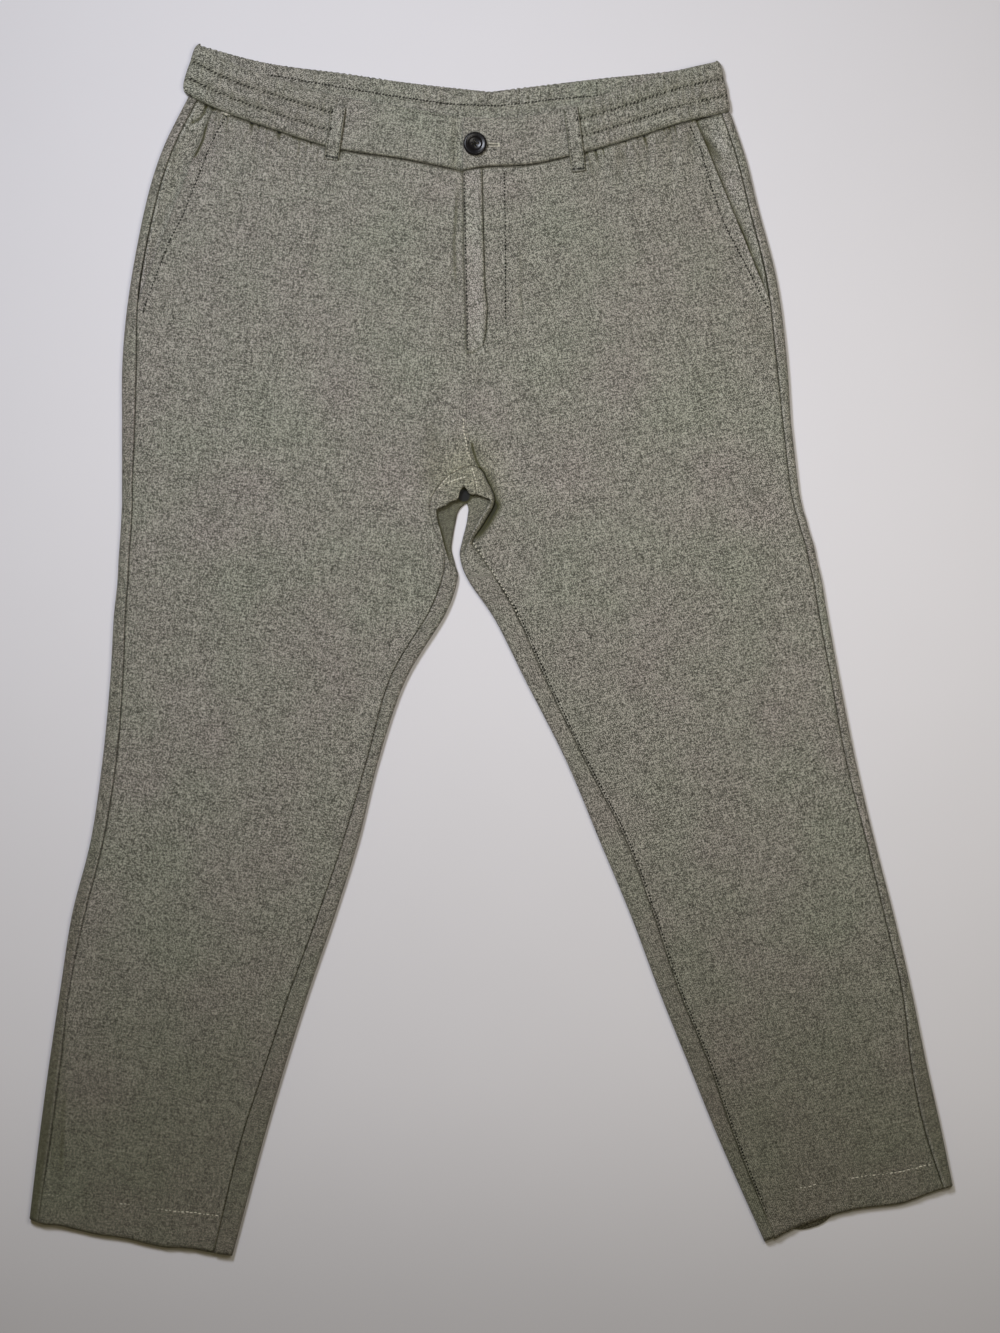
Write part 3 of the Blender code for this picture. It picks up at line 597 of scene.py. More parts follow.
frontBand = {
    "columns": "seamX seamY topX topY",
    "right": ((-256.5, 469, -249.5, 513.5), (-226.5, 455.5, -219.5, 497.5),
              (-185.5, 441, -179, 483.5), (-134, 425, -129.5, 469), (-77, 416, -75, 460),
              (-23.5, 405.5, -23.5, 450.5)),
    "left": ((-23.5, 405.5, -23.5, 450.5), (-10.5, 408, -10.5, 450.5), (38, 411.5, 36, 452.5),
             (73.5, 419.5, 68.5, 462), (127, 435, 122, 478.5), (161, 446, 155, 489.5),
             (203.5, 455.5, 195, 499)),
}
backBand = {
    "columns": "seamX seamY topX topY",
    "right": ((-256.5, 469, -249.5, 513.5), (-190, 455, -190, 498), (-123.5, 443.5, -123.5, 489),
              (-76, 437, -76, 482), (-0.5, 428.5, -0.5, 473.5)),
    "left": ((-0.5, 428.5, -0.5, 473.5), (40.5, 433, 40.5, 478.5), (90.5, 440, 90.5, 484.5),
             (159.5, 449, 159.5, 492), (203.5, 455.5, 195, 499)),
}
waistEnds = {"right": -256.5, "left": 203.5}
elasticEnds = {"right": -134.0, "left": 74.0}   # where the elastic stops, under the belt loops
overlapEnd = -23.5             # free end of the left waistband
underlapEnd = 12.5             # free end of the right waistband


def bandLine(tables, seamX):
    right, left = (readTable(tables, side) for side in sides)
    onRight = seamX <= left["seamX"][0]
    seamY, topX, topY = (
        np.where(onRight, smoothLine(seamX, right["seamX"], right[name]),
                 smoothLine(seamX, left["seamX"], left[name]))
        for name in ("seamY", "topX", "topY"))
    return np.stack([seamX, seamY], axis=-1), np.stack([topX, topY], axis=-1)


def waistY(x, tables=frontBand):
    return bandLine(tables, x)[0][..., 1]


def waistBow(seat, share):
    # how far the waist seam lies above the straight line between its ends
    start, end = points(seat, "outer")[0], points(seat, "end")[0]
    line = start + (end - start) * np.asarray(share)[..., None]
    return waistY(line[..., 0]) - line[..., 1]


# Relief of the cloth

# lines that a fold and its dark place share
pocketCrease = ((-235.5, 461.5), (-240.5, 447.5), (-243.7, 432.7), (-249, 421), (-253, 415))
shinCrease = ((-360, -290), (-366, -349), (-370, -400), (-372, -455))
thighCrease = ((216, 300), (229, 271), (247, 245), (250, 215))

# Soft folds and grooves on the upper layer: depth below the laid cloth (a ridge is negative), half
# width, how much of its length fades at each end, then the line it follows.
creases = {
    "right": (
        (1.1, 1.6, 0.15, pocketCrease),
        (-0.5, 4, 0.30, ((-232, 461), (-236, 447), (-239, 432))),
        (0.35, 5, 0.35, ((-31, 372), (-30.5, 340), (-28, 312), (-25, 280))),
        (0.45, 6, 0.35, ((-49, 205), (-49.5, 166), (-50, 122))),
        (-0.55, 9, 0.30, ((-33, 200), (-34, 172), (-42, 146))),
        (0.50, 2.4, 0.30, ((-36, 84), (-39.5, 62), (-43, 36))),
        (0.40, 9, 0.40, ((-344, -205), (-342, -226), (-338, -250))),
        (0.55, 4.5, 0.30, shinCrease),
        (-0.30, 11, 0.35, ((-352, -300), (-357, -360), (-361, -430))),
        (0.25, 14, 0.40, ((-250, 330), (-200, 250), (-150, 180))),
        (-0.25, 16, 0.40, ((-130, 330), (-110, 250), (-80, 190))),
        (0.22, 14, 0.40, ((-270, 60), (-220, 0), (-180, -40))),
        (-0.22, 18, 0.40, ((-190, 110), (-150, 40), (-140, -30))),
        (0.25, 13, 0.40, ((-300, -150), (-270, -210), (-262, -260))),
        (-0.22, 15, 0.40, ((-230, -290), (-250, -360), (-280, -420))),
    ),
    "left": (
        (0.30, 1.6, 0.30, ((25, 316), (26, 298), (27, 278))),
        (0.45, 7, 0.40, thighCrease),
        (-0.40, 8, 0.40, ((200, 290), (216, 262), (232, 238))),
        (0.30, 12, 0.40, ((110, 420), (98, 392), (92, 360))),
        (-0.30, 11, 0.40, ((128, 424), (122, 396), (118, 362))),
        (0.30, 15, 0.40, ((60, 330), (90, 250), (120, 190))),
        (-0.25, 17, 0.40, ((150, 330), (170, 250), (190, 190))),
        (0.25, 14, 0.40, ((70, 130), (110, 60), (150, 10))),
        (-0.25, 16, 0.40, ((190, 90), (210, 20), (240, -40))),
        (0.25, 14, 0.40, ((130, -80), (170, -150), (220, -200))),
        (-0.25, 16, 0.40, ((230, -130), (250, -200), (280, -260))),
        (0.22, 14, 0.40, ((200, -290), (240, -350), (290, -400))),
    ),
}

# painted shade where a fold is deep enough to stay dark: how dark, half width, share faded at its
# ends, line
deepLines = {
    "right": (
        (0.16, 7, 0.25, ((-48, 200), (-49.5, 166), (-50, 130))),
        (0.15, 5, 0.25, shinCrease),
        (0.22, 1.6, 0.20, ((-361, -370), (-363, -410), (-364.5, -450))),
        (0.90, 1.1, 0.10, pocketCrease),
        (0.55, 1, 0.20, ((-229.5, 457), (-231.5, 452), (-234.5, 447.5))),
        (0.45, 1.4, 0.30, ((-27, 402), (-29, 375), (-31, 345), (-30, 318), (-26, 296))),
    ),
    "left": (
        (0.75, 1.1, 0.08, ((-16.5, 178), (-15, 170), (-12, 160), (-6, 148), (0, 136), (4, 126))),
        (0.14, 4, 0.20, ((-15, 180), (-11, 166), (-4, 150), (3.5, 134))),
        (0.36, 4.6, 0.25, ((5, 132), (6.5, 122), (-1, 107), (-9, 97), (-15, 90))),
        (0.30, 2.6, 0.10, ((4, 127), (5.5, 121), (-1.5, 107), (-9, 97.5), (-14.5, 91))),
        (0.10, 6, 0.25, thighCrease),
        (0.22, 1.2, 0.30, ((25, 345), (25.5, 316), (26, 298), (27, 274))),
    ),
}
valley = (1.1, 4, 0.5, ((-15.5, 180), (-15, 168), (-9.5, 156), (-3.5, 144)))
clothWaves = {"right": (11, -0.17), "left": (23, 0.23)}     # seed, heading of the middle waves
# gathers below the elastic: from, to, height and seed
puckers = {"right": (-250, -128, 0.42, 41), "left": (78, 200, 0.55, 57)}
puckerReach = {"short": 11, "long": 34}     # mm down, over which they die away


def lineDistance(x, y, line):
    # the distance to a line and the share of its length where the nearest point lies
    corners = np.array(line, float)
    before = runLength(corners)
    best, share = np.full(x.shape, np.inf), np.zeros(x.shape)
    for k, length in enumerate(np.diff(before)):
        way = (corners[k + 1] - corners[k]) / length
        dx, dy = x - corners[k, 0], y - corners[k, 1]
        along = np.clip(dx * way[0] + dy * way[1], 0.0, length)
        distance = np.hypot(dx - along * way[0], dy - along * way[1])
        closer = distance < best
        best = np.where(closer, distance, best)
        share = np.where(closer, (before[k] + along) / before[-1], share)
    return best, share


def foldSum(x, y, rows):
    total = np.zeros(x.shape)
    for strength, width, fade, line in rows:
        distance, share = lineDistance(x, y, line)
        total += strength * bell(distance, width) * fadedEnds(share, fade)
    return total


def clothRelief(x, y, side):
    # soft undulation of laid cloth, with the main folds
    seed, heading = clothWaves[side]
    return (0.16 * waves(x, y, seed, 75, spread=0.4)
            + 0.09 * waves(x, y, seed + 1, 30, heading)
            + 0.035 * waves(x, y, seed + 2, 11) - foldSum(x, y, creases[side]))


def waistPuckers(x, y, side, below):
    # gathers that run down from the elastic's seam
    low, high, strength, seed = puckers[side]
    reach = np.maximum(below, 0.0)
    inside = easeStep(x, low - 12, low + 10) * easeStep(-x, -high - 12, -high + 10)
    short = waves(x, 0.08 * y, seed, 9, 0, 0.35) * np.exp(-reach / puckerReach["short"])
    long = waves(x, 0.1 * y, seed + 5, 17, 0, 0.35) * np.exp(-reach / puckerReach["long"])
    return strength * inside * (0.8 * short + 0.75 * long) * easeStep(below, -1, 2.5)


# Meshes and pieces

clothPieces = []
mergeReach = 0.002      # mm, over which a mesh's edges are joined


def flatUv(grid, tilt, turn=1):
    # a pattern laid flat: its place along and across a grain that leans by tilt degrees
    c, s = math.cos(math.radians(tilt)), math.sin(math.radians(tilt))
    x, y = grid[..., 0], grid[..., 1]
    return np.stack([(x * c + y * s) * turn, y * c - x * s], axis=-1)


def unfoldedUv(grid, tilt, column, turn):
    # the same, with the cloth beyond a column followed round its folds
    flat = flatUv(grid, tilt)
    steps = lengthOf(np.diff(grid, axis=1))
    across = np.sqrt(np.clip(steps ** 2 - np.diff(flat[:, :, 1], axis=1) ** 2, 0.0, None))
    across = np.pad(np.cumsum(across, axis=1), ((0, 0), (1, 0)))
    u = across - across[:, column:column + 1] + flat[:, column:column + 1, 0]
    return np.stack([u * turn, flat[:, :, 1]], axis=-1)


def stripUv(grid, turn):
    # along the first column and up each row
    up = np.array([runLength(row) for row in grid])
    along = runLength(grid[:, 0])[:, None] * turn
    return np.stack([np.broadcast_to(along, up.shape), up], axis=-1)


def gridSheet(name, grid, uv):
    # an open sheet through a grid of points in mm, its first cell facing up
    rows, cols = grid.shape[:2]
    bm = bmesh.new()
    bmesh.ops.create_grid(bm, x_segments=cols - 1, y_segments=rows - 1, size=0.5)
    if np.cross(grid[0, 1] - grid[0, 0], grid[1, 0] - grid[0, 0])[2] > 0:
        bmesh.ops.reverse_faces(bm, faces=bm.faces)
    mesh = takeMesh(bm, name)
    flat = np.zeros(len(mesh.vertices) * 3)
    mesh.vertices.foreach_get("co", flat)
    flat = flat.reshape(-1, 3)
    col = np.rint((flat[:, 0] + 0.5) * (cols - 1)).astype(int)
    row = np.rint((0.5 - flat[:, 1]) * (rows - 1)).astype(int)
    mesh.vertices.foreach_set("co", (grid[row, col] * mm).ravel())
    corner = np.zeros(len(mesh.loops), int)
    mesh.loops.foreach_get("vertex_index", corner)
    layer = mesh.uv_layers.new(name="UVMap")
    layer.data.foreach_set("uv", (uv[row[corner], col[corner]] * mm).ravel())
    mesh.polygons.foreach_set("use_smooth", np.ones(len(mesh.polygons), bool))
    mesh.update()
    return mesh


def vertexValues(mesh, grid, values):
    # the value of the grid's nearest point at each of the mesh's vertices
    places = grid.reshape(-1, 3) * mm
    tree = KDTree(len(places))
    for index, place in enumerate(places):
        tree.insert(place, index)
    tree.balance()
    values = np.broadcast_to(values, grid.shape[:-1]).ravel()
    return np.array([values[tree.find(vertex.co)[1]] for vertex in mesh.vertices])


def paint(mesh, grid, name, values):
    layer = mesh.attributes.new(name, "FLOAT", "POINT")
    layer.data.foreach_set("value", vertexValues(mesh, grid, values))


def dress(piece, finishes, nodes):
    # a piece's finishes, the nodes that it stands for and its body
    for finish in finishes:
        piece.data.materials.append(finish)
    if nodes:
        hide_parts(*nodes)
    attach(piece, "root")


def addCloth(name, mesh, finish, node):
    piece = addObject(name, mesh)
    dress(piece, [finish], [node])
    clothPieces.append(piece)
    return piece


def addWall(piece, wall, thick=None, weights=None):
    # gives a sheet its wall, inwards; weights from 0 to 1 lead from the wall to the thick one
    shell = piece.modifiers.new("wall", "SOLIDIFY")
    shell.thickness = (thick or wall) * mm
    shell.offset = -1
    if thick:
        group = piece.vertex_groups.new(name="hem")
        for index in np.nonzero(weights > 0)[0]:
            group.add([int(index)], float(weights[index]), "REPLACE")
        shell.vertex_group = "hem"
        shell.thickness_vertex_group = wall / thick


def addStrip(name, node, grid, turn, **painted):
    # a band or loop whose rows run round its section and meet; its open ends are filled
    grid = grid.transpose(1, 0, 2)
    mesh = gridSheet(name, grid, stripUv(grid, turn))
    bm = bmesh.new()
    bm.from_mesh(mesh)
    bmesh.ops.remove_doubles(bm, verts=bm.verts, dist=mergeReach * mm)
    rim = [edge for edge in bm.edges if edge.is_boundary]
    bmesh.ops.holes_fill(bm, edges=rim, sides=0)
    bmesh.ops.recalc_face_normals(bm, faces=bm.faces)
    takeMesh(bm, mesh)
    for key, values in painted.items():
        paint(mesh, grid, key, values.T)
    return addCloth(name, mesh, linenBand, node)


# Front panels

frontPanel = {
    # distances from each edge where its columns lie closer together
    "outerEdge": (0, 0.5, 1, 1.6, 2.4, 3.6, 5.2, 7.4, 10),
    "innerEdge": {
        "right": (0, 0.5, 1, 1.6, 2.4, 3.4, 4.5, 5.6, 6.7, 7.8, 9, 10.5, 12.8),
        "left": (0, 0.5, 1, 1.7, 2.6, 3.8, 5, 6.3, 7.6, 9, 10.4, 11.6, 12.8, 13.7, 14.4, 15, 15.6,
                 16.2, 16.8, 17.4, 18, 18.7, 19.6, 21, 23, 25.5, 28.5),
    },
    "middle": 88,
    "seamDip": 0.55,
    "seamWidth": 0.9,
    "seamShade": 0.44,      # how dark its seams stay
    # the side seam grows softer down the leg: from, to, and how much
    "seamSoftens": {"right": (130, 300, 0.8), "left": (0, 1, 0)},
    "waistShade": 0.5,
    "mouthLift": {"right": 0.2, "left": 0.7},
    # painted shade for the lamps' falloff, down the legs and over the hips
    "hemShade": 0.30,
    "hemShadeReach": (60, 470),     # down the leg
    "hipShade": 0.035,
    "hipShadeReach": (170, 330),    # up the seat
    # the pocket's edge, with a painted highlight where it stands up and painted shade where it is
    # pulled shut: how dark, place, half width, and the height at which that ends
    "mouthShade": {"right": (0.16, 0, 0.9, 412), "left": (-0.28, 1, 1.8, 440)},
    # painted shade in the gathers below the elastic: in their creases, and in their troughs
    "puckerShade": 0.80,
    "puckerDark": 0.3,
    "calmReach": 14,        # from its edges, where the relief grows
    "sunkReach": 5.5,       # how far the cloth sinks towards the inseam at the crotch
    "sunkShade": 0.15,
    "shadeRange": (-0.4, 0.92),
}
fly = {
    "line": ((-7, 406), (-6, 358.5), (-4.5, 307.5), (-2.5, 290), (-3.5, 270), (-6, 258),
             (-12.5, 252.5), (-20, 251)),
    "end": 251,             # below this the two fronts are only seamed together
    "lineShade": 0.55,
    "stripLight": 0.20,     # painted highlight on the pressed strip beside it
    "stripWidth": 16,
    "groove": 0.75,
    "puff": 0.30,
    "puffWidth": 17.5,
    "lap": 0.55,            # how far its edge stands up
    "lapReach": 9,
    "shieldLine": 33,       # from the centre, where the shield's edge shows through
}
hemTurn = {
    "up": 29,               # from the hem's edge to its row of stitches
    "dip": 0.35,
    "edgeDip": 0.5,
    "ripple": 0.16,
    "rippleTop": 46,        # where the ripples have died away
    "seeds": {"right": 71, "left": 83},
}
laid = {}                   # the front panels' grids, for the lines of stitches


def bowedHem(side, layer, share, distanceUp):
    table = readTable(hemBow, side)
    bow = smoothLine(share, table["share"], table[layer])
    return bow * easeStep(hemBowReach - distanceUp, 0, hemBowReach)


def columnPlaces(side, start, end):
    first = start + np.array(frontPanel["outerEdge"])
    last = end - np.array(frontPanel["innerEdge"][side])[::-1]
    middle = np.linspace(first[-1], last[0], frontPanel["middle"] + 1)[1:-1]
    return np.concatenate([first, middle, last])


def frontPlan(side, seat, leg):
    # the panel's points in plan, how far along its row each lies, and its distance from both edges
    seatEnds = points(seat, "end") + (outwardSign[side] * halfGap, 0.0)
    legEnds = points(leg, "end")
    legEnds = legEnds - awayNormals(legEnds, points(leg, "outer")) * halfGap
    legEnds[0] = seatEnds[-1] + (0.0, halfGap)
    outer = joined(points(seat, "outer"), points(leg, "outer"))
    across = joined(seatEnds, legEnds) - outer
    insets = joined(seat["mouth"], leg["side"]) + halfGap
    length = lengthOf(across)
    along = np.array([columnPlaces(side, *ends) for ends in zip(insets, length)])
    plan = outer[:, None] + unit(across)[:, None] * along[:, :, None]
    share = along / length[:, None]
    plan[:, :, 1] += joined(seat["fade"], 0 * leg["place"])[:, None] * waistBow(seat, share)
    plan[0, :, 1] -= halfGap
    plan[:, :, 1] += bowedHem(side, "front", share, lengthOf(plan - plan[-1:]))
    return plan, along, along - insets[:, None], length[:, None] - along


def frontGrid(side):
    seat, leg = readSeat(side), readLeg(side)
    plan, along, fromOuter, fromInner = frontPlan(side, seat, leg)
    x, y = plan[:, :, 0], plan[:, :, 1]
    onSeat, onLeg = 0 * seat["place"], 0 * leg["place"]
    seatRows = len(onSeat) - 1
    dip, width = frontPanel["seamDip"], frontPanel["seamWidth"]
    legRow = joined(onSeat, onLeg + 1)[:, None]
    inner = joined(np.full((len(onSeat), 2), np.inf), points(leg, "inner"))
    below = waistY(x) - y
    pucker = waistPuckers(x, y, side, below)
    fadeStart, fadeEnd, most = frontPanel["seamSoftens"][side]
    crisp = 1 - most * easeStep(-y, fadeStart, fadeEnd)
    sunk = joined(onSeat, leg["sunk"])[:, None]
    sunk[:seatRows, 0] = leg["sunk"][0] * easeStep(np.arange(seatRows), seatRows - 9, seatRows)
    reach = np.maximum(fromInner, 0.0)
    mouth = joined(seat["mouth"] - seat["side"], onLeg)[:, None] > 0.2
    calm = 0.25 + 0.75 * easeStep(np.minimum(fromOuter, fromInner), 0, frontPanel["calmReach"])

    z = topHeight(along, lengthOf(plan - inner[:, None])) + clothRelief(x, y, side) * calm + pucker
    z -= dip * (crisp * bell(fromOuter, width) + bell(below, width)
                + legRow * bell(fromInner, width))
    z += flyRelief(x, y, side, fromInner)
    if side == "left":
        z -= foldSum(x, y, [valley])
    z -= sunk * (np.exp(-((reach / frontPanel["sunkReach"]) ** 1.7))
                 - 0.22 * bell(reach - 15, 8))
    z += hemRelief(plan, side)
    z += np.where(mouth, frontPanel["mouthLift"][side] * bell(fromOuter, 5), 0.0)

    shown = joined(onSeat + 1, inseamShown(leg["place"], side))[:, None]
    shade = paintedFalloffShade(y) + foldSum(x, y, deepLines[side]) + flyShade(x, y, side, fromInner)
    shade += frontPanel["sunkShade"] * sunk * np.exp(-((reach / frontPanel["sunkReach"]) ** 1.5))
    shade += frontPanel["waistShade"] * bell(below, 0.7)
    shade += frontPanel["puckerDark"] * np.maximum(-pucker - 0.12, 0.0)
    shade += frontPanel["seamShade"] * legRow * bell(fromInner, 0.75) * shown
    shade += np.where(mouth, mouthShade(fromOuter, y, side),
                      frontPanel["seamShade"] * crisp * bell(fromOuter, width))
    # painted shade in the creases of the gathers below the elastic
    low, high = puckers[side][:2]
    gathered = easeStep(x, low - 8, low + 8) * easeStep(-x, -high - 8, -high + 8)
    gathered *= (frontPanel["puckerShade"]
                 * np.exp(-np.maximum(below, 0.0) / puckerReach["short"]))
    return (np.dstack([x, y, z]), joined(onSeat, leg["hem"])[:, None],
            np.clip(shade, *frontPanel["shadeRange"]), gathered)


def paintedFalloffShade(y, more=0.0):
    # painted shade standing in for the lamps' falloff: the cloth grows darker and mossier towards
    # the hems, and a little darker over the hips
    return ((frontPanel["hemShade"] + more) * easeStep(-y, *frontPanel["hemShadeReach"]) ** 1.15
            + frontPanel["hipShade"] * easeStep(y, *frontPanel["hipShadeReach"]))


def inseamShown(place, side):
    # the seam stays dark except where the crotch's slack runs smoothly over it
    if side == "right":
        return 1 - 0.8 * easeStep(place, 1.4, 2.2) * easeStep(6.6 - place, 0, 1)
    return 0.25 + 0.75 * easeStep(place, 0.4, 1.6)


def mouthShade(fromEdge, y, side):
    dark, place, width, top = frontPanel["mouthShade"][side]
    return dark * bell(fromEdge - place, width) * easeStep(top - y, 0, 20)


def flyShade(x, y, side, fromCentre):
    above = easeStep(y, fly["end"] - 2, fly["end"] + 3)
    if side == "right":
        return 0.40 * bell(fromCentre, 1) * above
    strip = (easeStep(fromCentre, 1, 3) * above
             * easeStep(fly["stripWidth"] - fromCentre, 0, 2.5))
    return (fly["lineShade"] * bell(lineDistance(x, y, fly["line"])[0], 0.8)
            - fly["stripLight"] * strip + 0.25 * bell(fromCentre, 0.8) * above)


def flyRelief(x, y, side, fromCentre):
    above = easeStep(y, fly["end"] - 4, fly["end"] + 3)
    seam = -0.22 * bell(fromCentre, 0.9) * (1 - above) * easeStep(y, 150, 162)
    if side == "right":
        return seam - 0.35 * bell(fromCentre, 2.2) * above
    groove = fly["groove"] * bell(lineDistance(x, y, fly["line"])[0], 0.75)
    puff = (fly["puff"] * easeStep(fly["puffWidth"] - fromCentre, 0, 3.5)
            * easeStep(y, fly["end"] - 3, fly["end"] + 12))
    edge = fly["lap"] * easeStep(-fromCentre, -fly["lapReach"], -1) - 0.5 * bell(fromCentre, 0.5)
    under = 0.18 * bell(fromCentre - fly["shieldLine"], 1.2) * easeStep(y, 270, 290)
    return seam - groove + puff + edge * above - under


def hemRelief(plan, side):
    # the hem's turned-up cloth, a little puckered along its stitches
    up = lengthOf(plan - plan[-1:])
    ripple = waves(plan[:, :, 0], 0.2 * plan[:, :, 1], hemTurn["seeds"][side], 13, 0)
    return (hemTurn["ripple"] * ripple * easeStep(hemTurn["rippleTop"] - up, 0, 25)
            - hemTurn["dip"] * bell(up - hemTurn["up"], 1.6) - hemTurn["edgeDip"] * bell(up, 1.2))


def makeFront(side):
    grid, hem, shade, gathered = frontGrid(side)
    laid[side] = grid
    name = "front_panel_" + side
    mesh = gridSheet(name, grid, flatUv(grid, grain[side], twill[side]))
    paint(mesh, grid, "shade", shade)
    paint(mesh, grid, "gather", gathered)
    piece = addCloth(name, mesh, linen, "front_" + side)
    addWall(piece, garment["wall"], garment["hemWall"], vertexValues(mesh, grid, hem))


# Back panels

backPanel = {
    "sideShares": 9,
    "foldSteps": 12,
    "floorCells": 34,
    "wrapPoints": 40,
    "seamPoints": 8,      # of them beside the inseam
    "seamReach": 3.6,
    "underGap": 1.5,      # between the crotch's upper lobe and the cloth tucked under it
    "evenRows": 11,       # from the curved waist down to straight rows
    "ripple": 0.12,
    "rippleSeeds": (91, 92),
    # painted shade on the strip beyond the side seam, and more of it towards the hem
    "stripShade": {"right": 0.10, "left": 0.04},
    "stripHemShade": {"right": 0.14, "left": 0.0},
    "seamRim": 0.22,
}
hollow = {
    "centre": (-22.6, 130.5),   # where the cloth goes in deepest
    "reach": (4.5, 10.0),
    "deepShade": 1.0,
    "tuckShade": {"right": 0.43, "left": 0.2},
    "flatTo": 6.9,              # sections down to which its weave is laid flat
    "edgeShade": 0.6,
    "rimLight": {"right": 0.08, "left": 0.30},
}


def foldArc(edge, inwardTop, inwardBottom, height, steps):
    radius = height / 2
    angles = np.radians(np.linspace(90, -90, steps))
    inward = np.where((angles > 0)[:, None], inwardTop, inwardBottom)
    plan = edge + inward * (radius * (1 - np.cos(angles)))[:, None]
    return np.column_stack([plan, radius * (1 + np.sin(angles))])


def resample(line, count, endPoints):
    # points at even steps along a line, closer together over its last few millimetres
    line = line[np.append(True, lengthOf(np.diff(line, axis=0)) > 1e-6)]
    along = runLength(line)
    start = along[-1] - backPanel["seamReach"]
    want = np.append(np.linspace(0.0, start, count - endPoints),
                     np.linspace(start, along[-1], endPoints + 1)[1:])
    return pointsAt(line, along, want)


def rounded(line, times=2):
    # corners cut twice over, with the ends kept
    for _ in range(times):
        middle = np.empty((2 * len(line) - 2, 3))
        middle[0::2] = line[:-1] * 0.75 + line[1:] * 0.25
        middle[1::2] = line[:-1] * 0.25 + line[1:] * 0.75
        line = np.vstack([line[:1], middle, line[-1:]])
    return line


def raised(plan, z):
    plan = np.atleast_2d(plan)
    return np.column_stack([plan, np.broadcast_to(z, len(plan))])


def outerRun(start, frontEnd, backEnd, side, seed):
    # from the side seam over the outer fold, and down to the floor
    way = unit(frontEnd - start)
    along = np.linspace(side - halfGap, garment["foldHeight"] / 2, backPanel["sideShares"])
    ripple = backPanel["ripple"] * waves(*start, seed, 22, math.pi / 2)
    z = (topHeight(along) - frontPanel["seamDip"] * bell(along - side, frontPanel["seamWidth"])
         + ripple * easeStep(along, 2, 9))
    turn = foldArc(start, way, unit(backEnd - start), garment["foldHeight"], backPanel["foldSteps"])
    return np.vstack([raised(start + way * along[:, None], z), turn[1:]])


def floorRun(begin, end):
    steps = np.linspace(0, 1, backPanel["floorCells"] + 1)[1:, None]
    return raised(begin + (end - begin) * steps, 0.0)


def innerRun(side, leg, k, inner, outward, edge, inseam, start):
    # round the inner fold, through the tucked crotch cloth where there is some, to the inseam,
    # with the shade painted on each point and a painted highlight on the upper lobe's rim
    lower, tuck, lift = leg["lower"][k], leg["tuck"][k], leg["lift"][k]
    turn = foldArc(inner, -outward, -outward, lower, backPanel["foldSteps"])[::-1]
    inseamHeight = topHeight(lengthOf(inseam - start), lengthOf(inseam - inner))
    edgeHeight = topHeight(lengthOf(edge - start), lengthOf(edge - inner)) + lift
    back = unit(inseam - edge)
    share = min(tuck / 3.0, 1.0)
    deep = edge + back * min(tuck, lengthOf(inseam - edge) * 0.7)
    under = edgeHeight - backPanel["underGap"] * share
    low = lower + (under - lower) * 0.15 * share
    tucked = np.vstack([
        raised(edge + back * 0.6, lower + (edgeHeight - lower) * (1 - share) * 0.9),
        raised(deep, low),
        raised(deep + back * 0.8 * share, (low + under) / 2),
        raised(deep, under),
        raised(edge + back * 0.8, under + 0.1),
        raised(edge, edgeHeight - 0.7 * share),
        raised(edge + back * 0.5, edgeHeight),
    ])
    over = np.linspace(0.15, 1.0, 6)
    top = raised(edge + (inseam - edge) * over[:, None],
                 edgeHeight + (inseamHeight - edgeHeight) * easeStep(over, 0.1, 1))
    whole = np.vstack([turn, tucked if share > 0.02 else tucked[-1:], top])
    line = resample(rounded(whole), backPanel["wrapPoints"], backPanel["seamPoints"])
    fromSeam, fromHollow, fromEdge = (lengthOf(line[:, :2] - place)
                                      for place in (inseam, hollow["centre"], edge))
    after = np.arange(len(line)) >= np.argmax(line[:, 2])
    dip = (frontPanel["seamDip"] * bell(fromSeam, frontPanel["seamWidth"])
           + leg["sunk"][k] * bell(fromSeam, 1.5))
    line[:, 2] -= np.where(after, dip, 0.0)
    deepShade = hollow["deepShade"] * (1 - easeStep(fromHollow, *hollow["reach"]))
    tuckShade = hollow["tuckShade"][side] + hollow["edgeShade"] * np.exp(-fromEdge / 1.3)
    covered = np.where(after, 0.0, easeStep(edgeHeight - line[:, 2], 0.5, 1.4)) * share
    onRim = (line[:, 2] > edgeHeight - 1.0) & (fromSeam > 0.8)
    rim = hollow["rimLight"][side] * bell(fromEdge - 0.5, 1.8) * np.where(onRim, share, 0.0)
    shade = np.maximum(deepShade, tuckShade) * covered - rim + paintedFalloffShade(line[:, 1])
    return np.column_stack([line, shade])[1:]


def outerShade(line, start, seamAt, side):
    # painted shade: the strip beyond the side seam is a little darker, more so towards the hem,
    # with a painted highlight along the seam's edge
    strip = np.arange(len(line)) < backPanel["sideShares"] + 4
    inward = lengthOf(line[:, :2] - start)
    rim = backPanel["seamRim"] * bell(inward - seamAt + 1.2, 1.1)
    dark = backPanel["stripShade"][side] + paintedFalloffShade(line[:, 1], backPanel["stripHemShade"][side])
    return np.where(strip, dark - rim, paintedFalloffShade(line[:, 1]))


def seatGrid(side, seat, shift):
    outer, ends, backs = points(seat, "outer"), points(seat, "end"), points(seat, "back") + shift
    strip, even = backPanel["sideShares"], backPanel["evenRows"]
    rows = []
    for k in range(len(outer) - 1):
        row = outerRun(outer[k], ends[k], backs[k], seat["side"][k], backPanel["rippleSeeds"][0])
        bow = waistBow(seat, seat["side"][k] / lengthOf(ends[k] - outer[k]))
        row[:strip, 1] += seat["fade"][k] * bow * np.linspace(1, 0, strip)
        rows.append(np.vstack([row, floorRun(row[-1, :2], backs[k])]))
    turn = strip + backPanel["foldSteps"] // 2
    top = rows[0]
    top[:turn, 1] = waistY(top[:turn, 0])
    top[turn:, 1] = waistY(top[turn:, 0], backBand)
    top[:, 1] -= halfGap
    straight = rows[even][turn:, 1] - top[turn:, 1]
    for k in range(1, even):
        rows[k][turn:, 1] = top[turn:, 1] + straight * k / even
    return rows


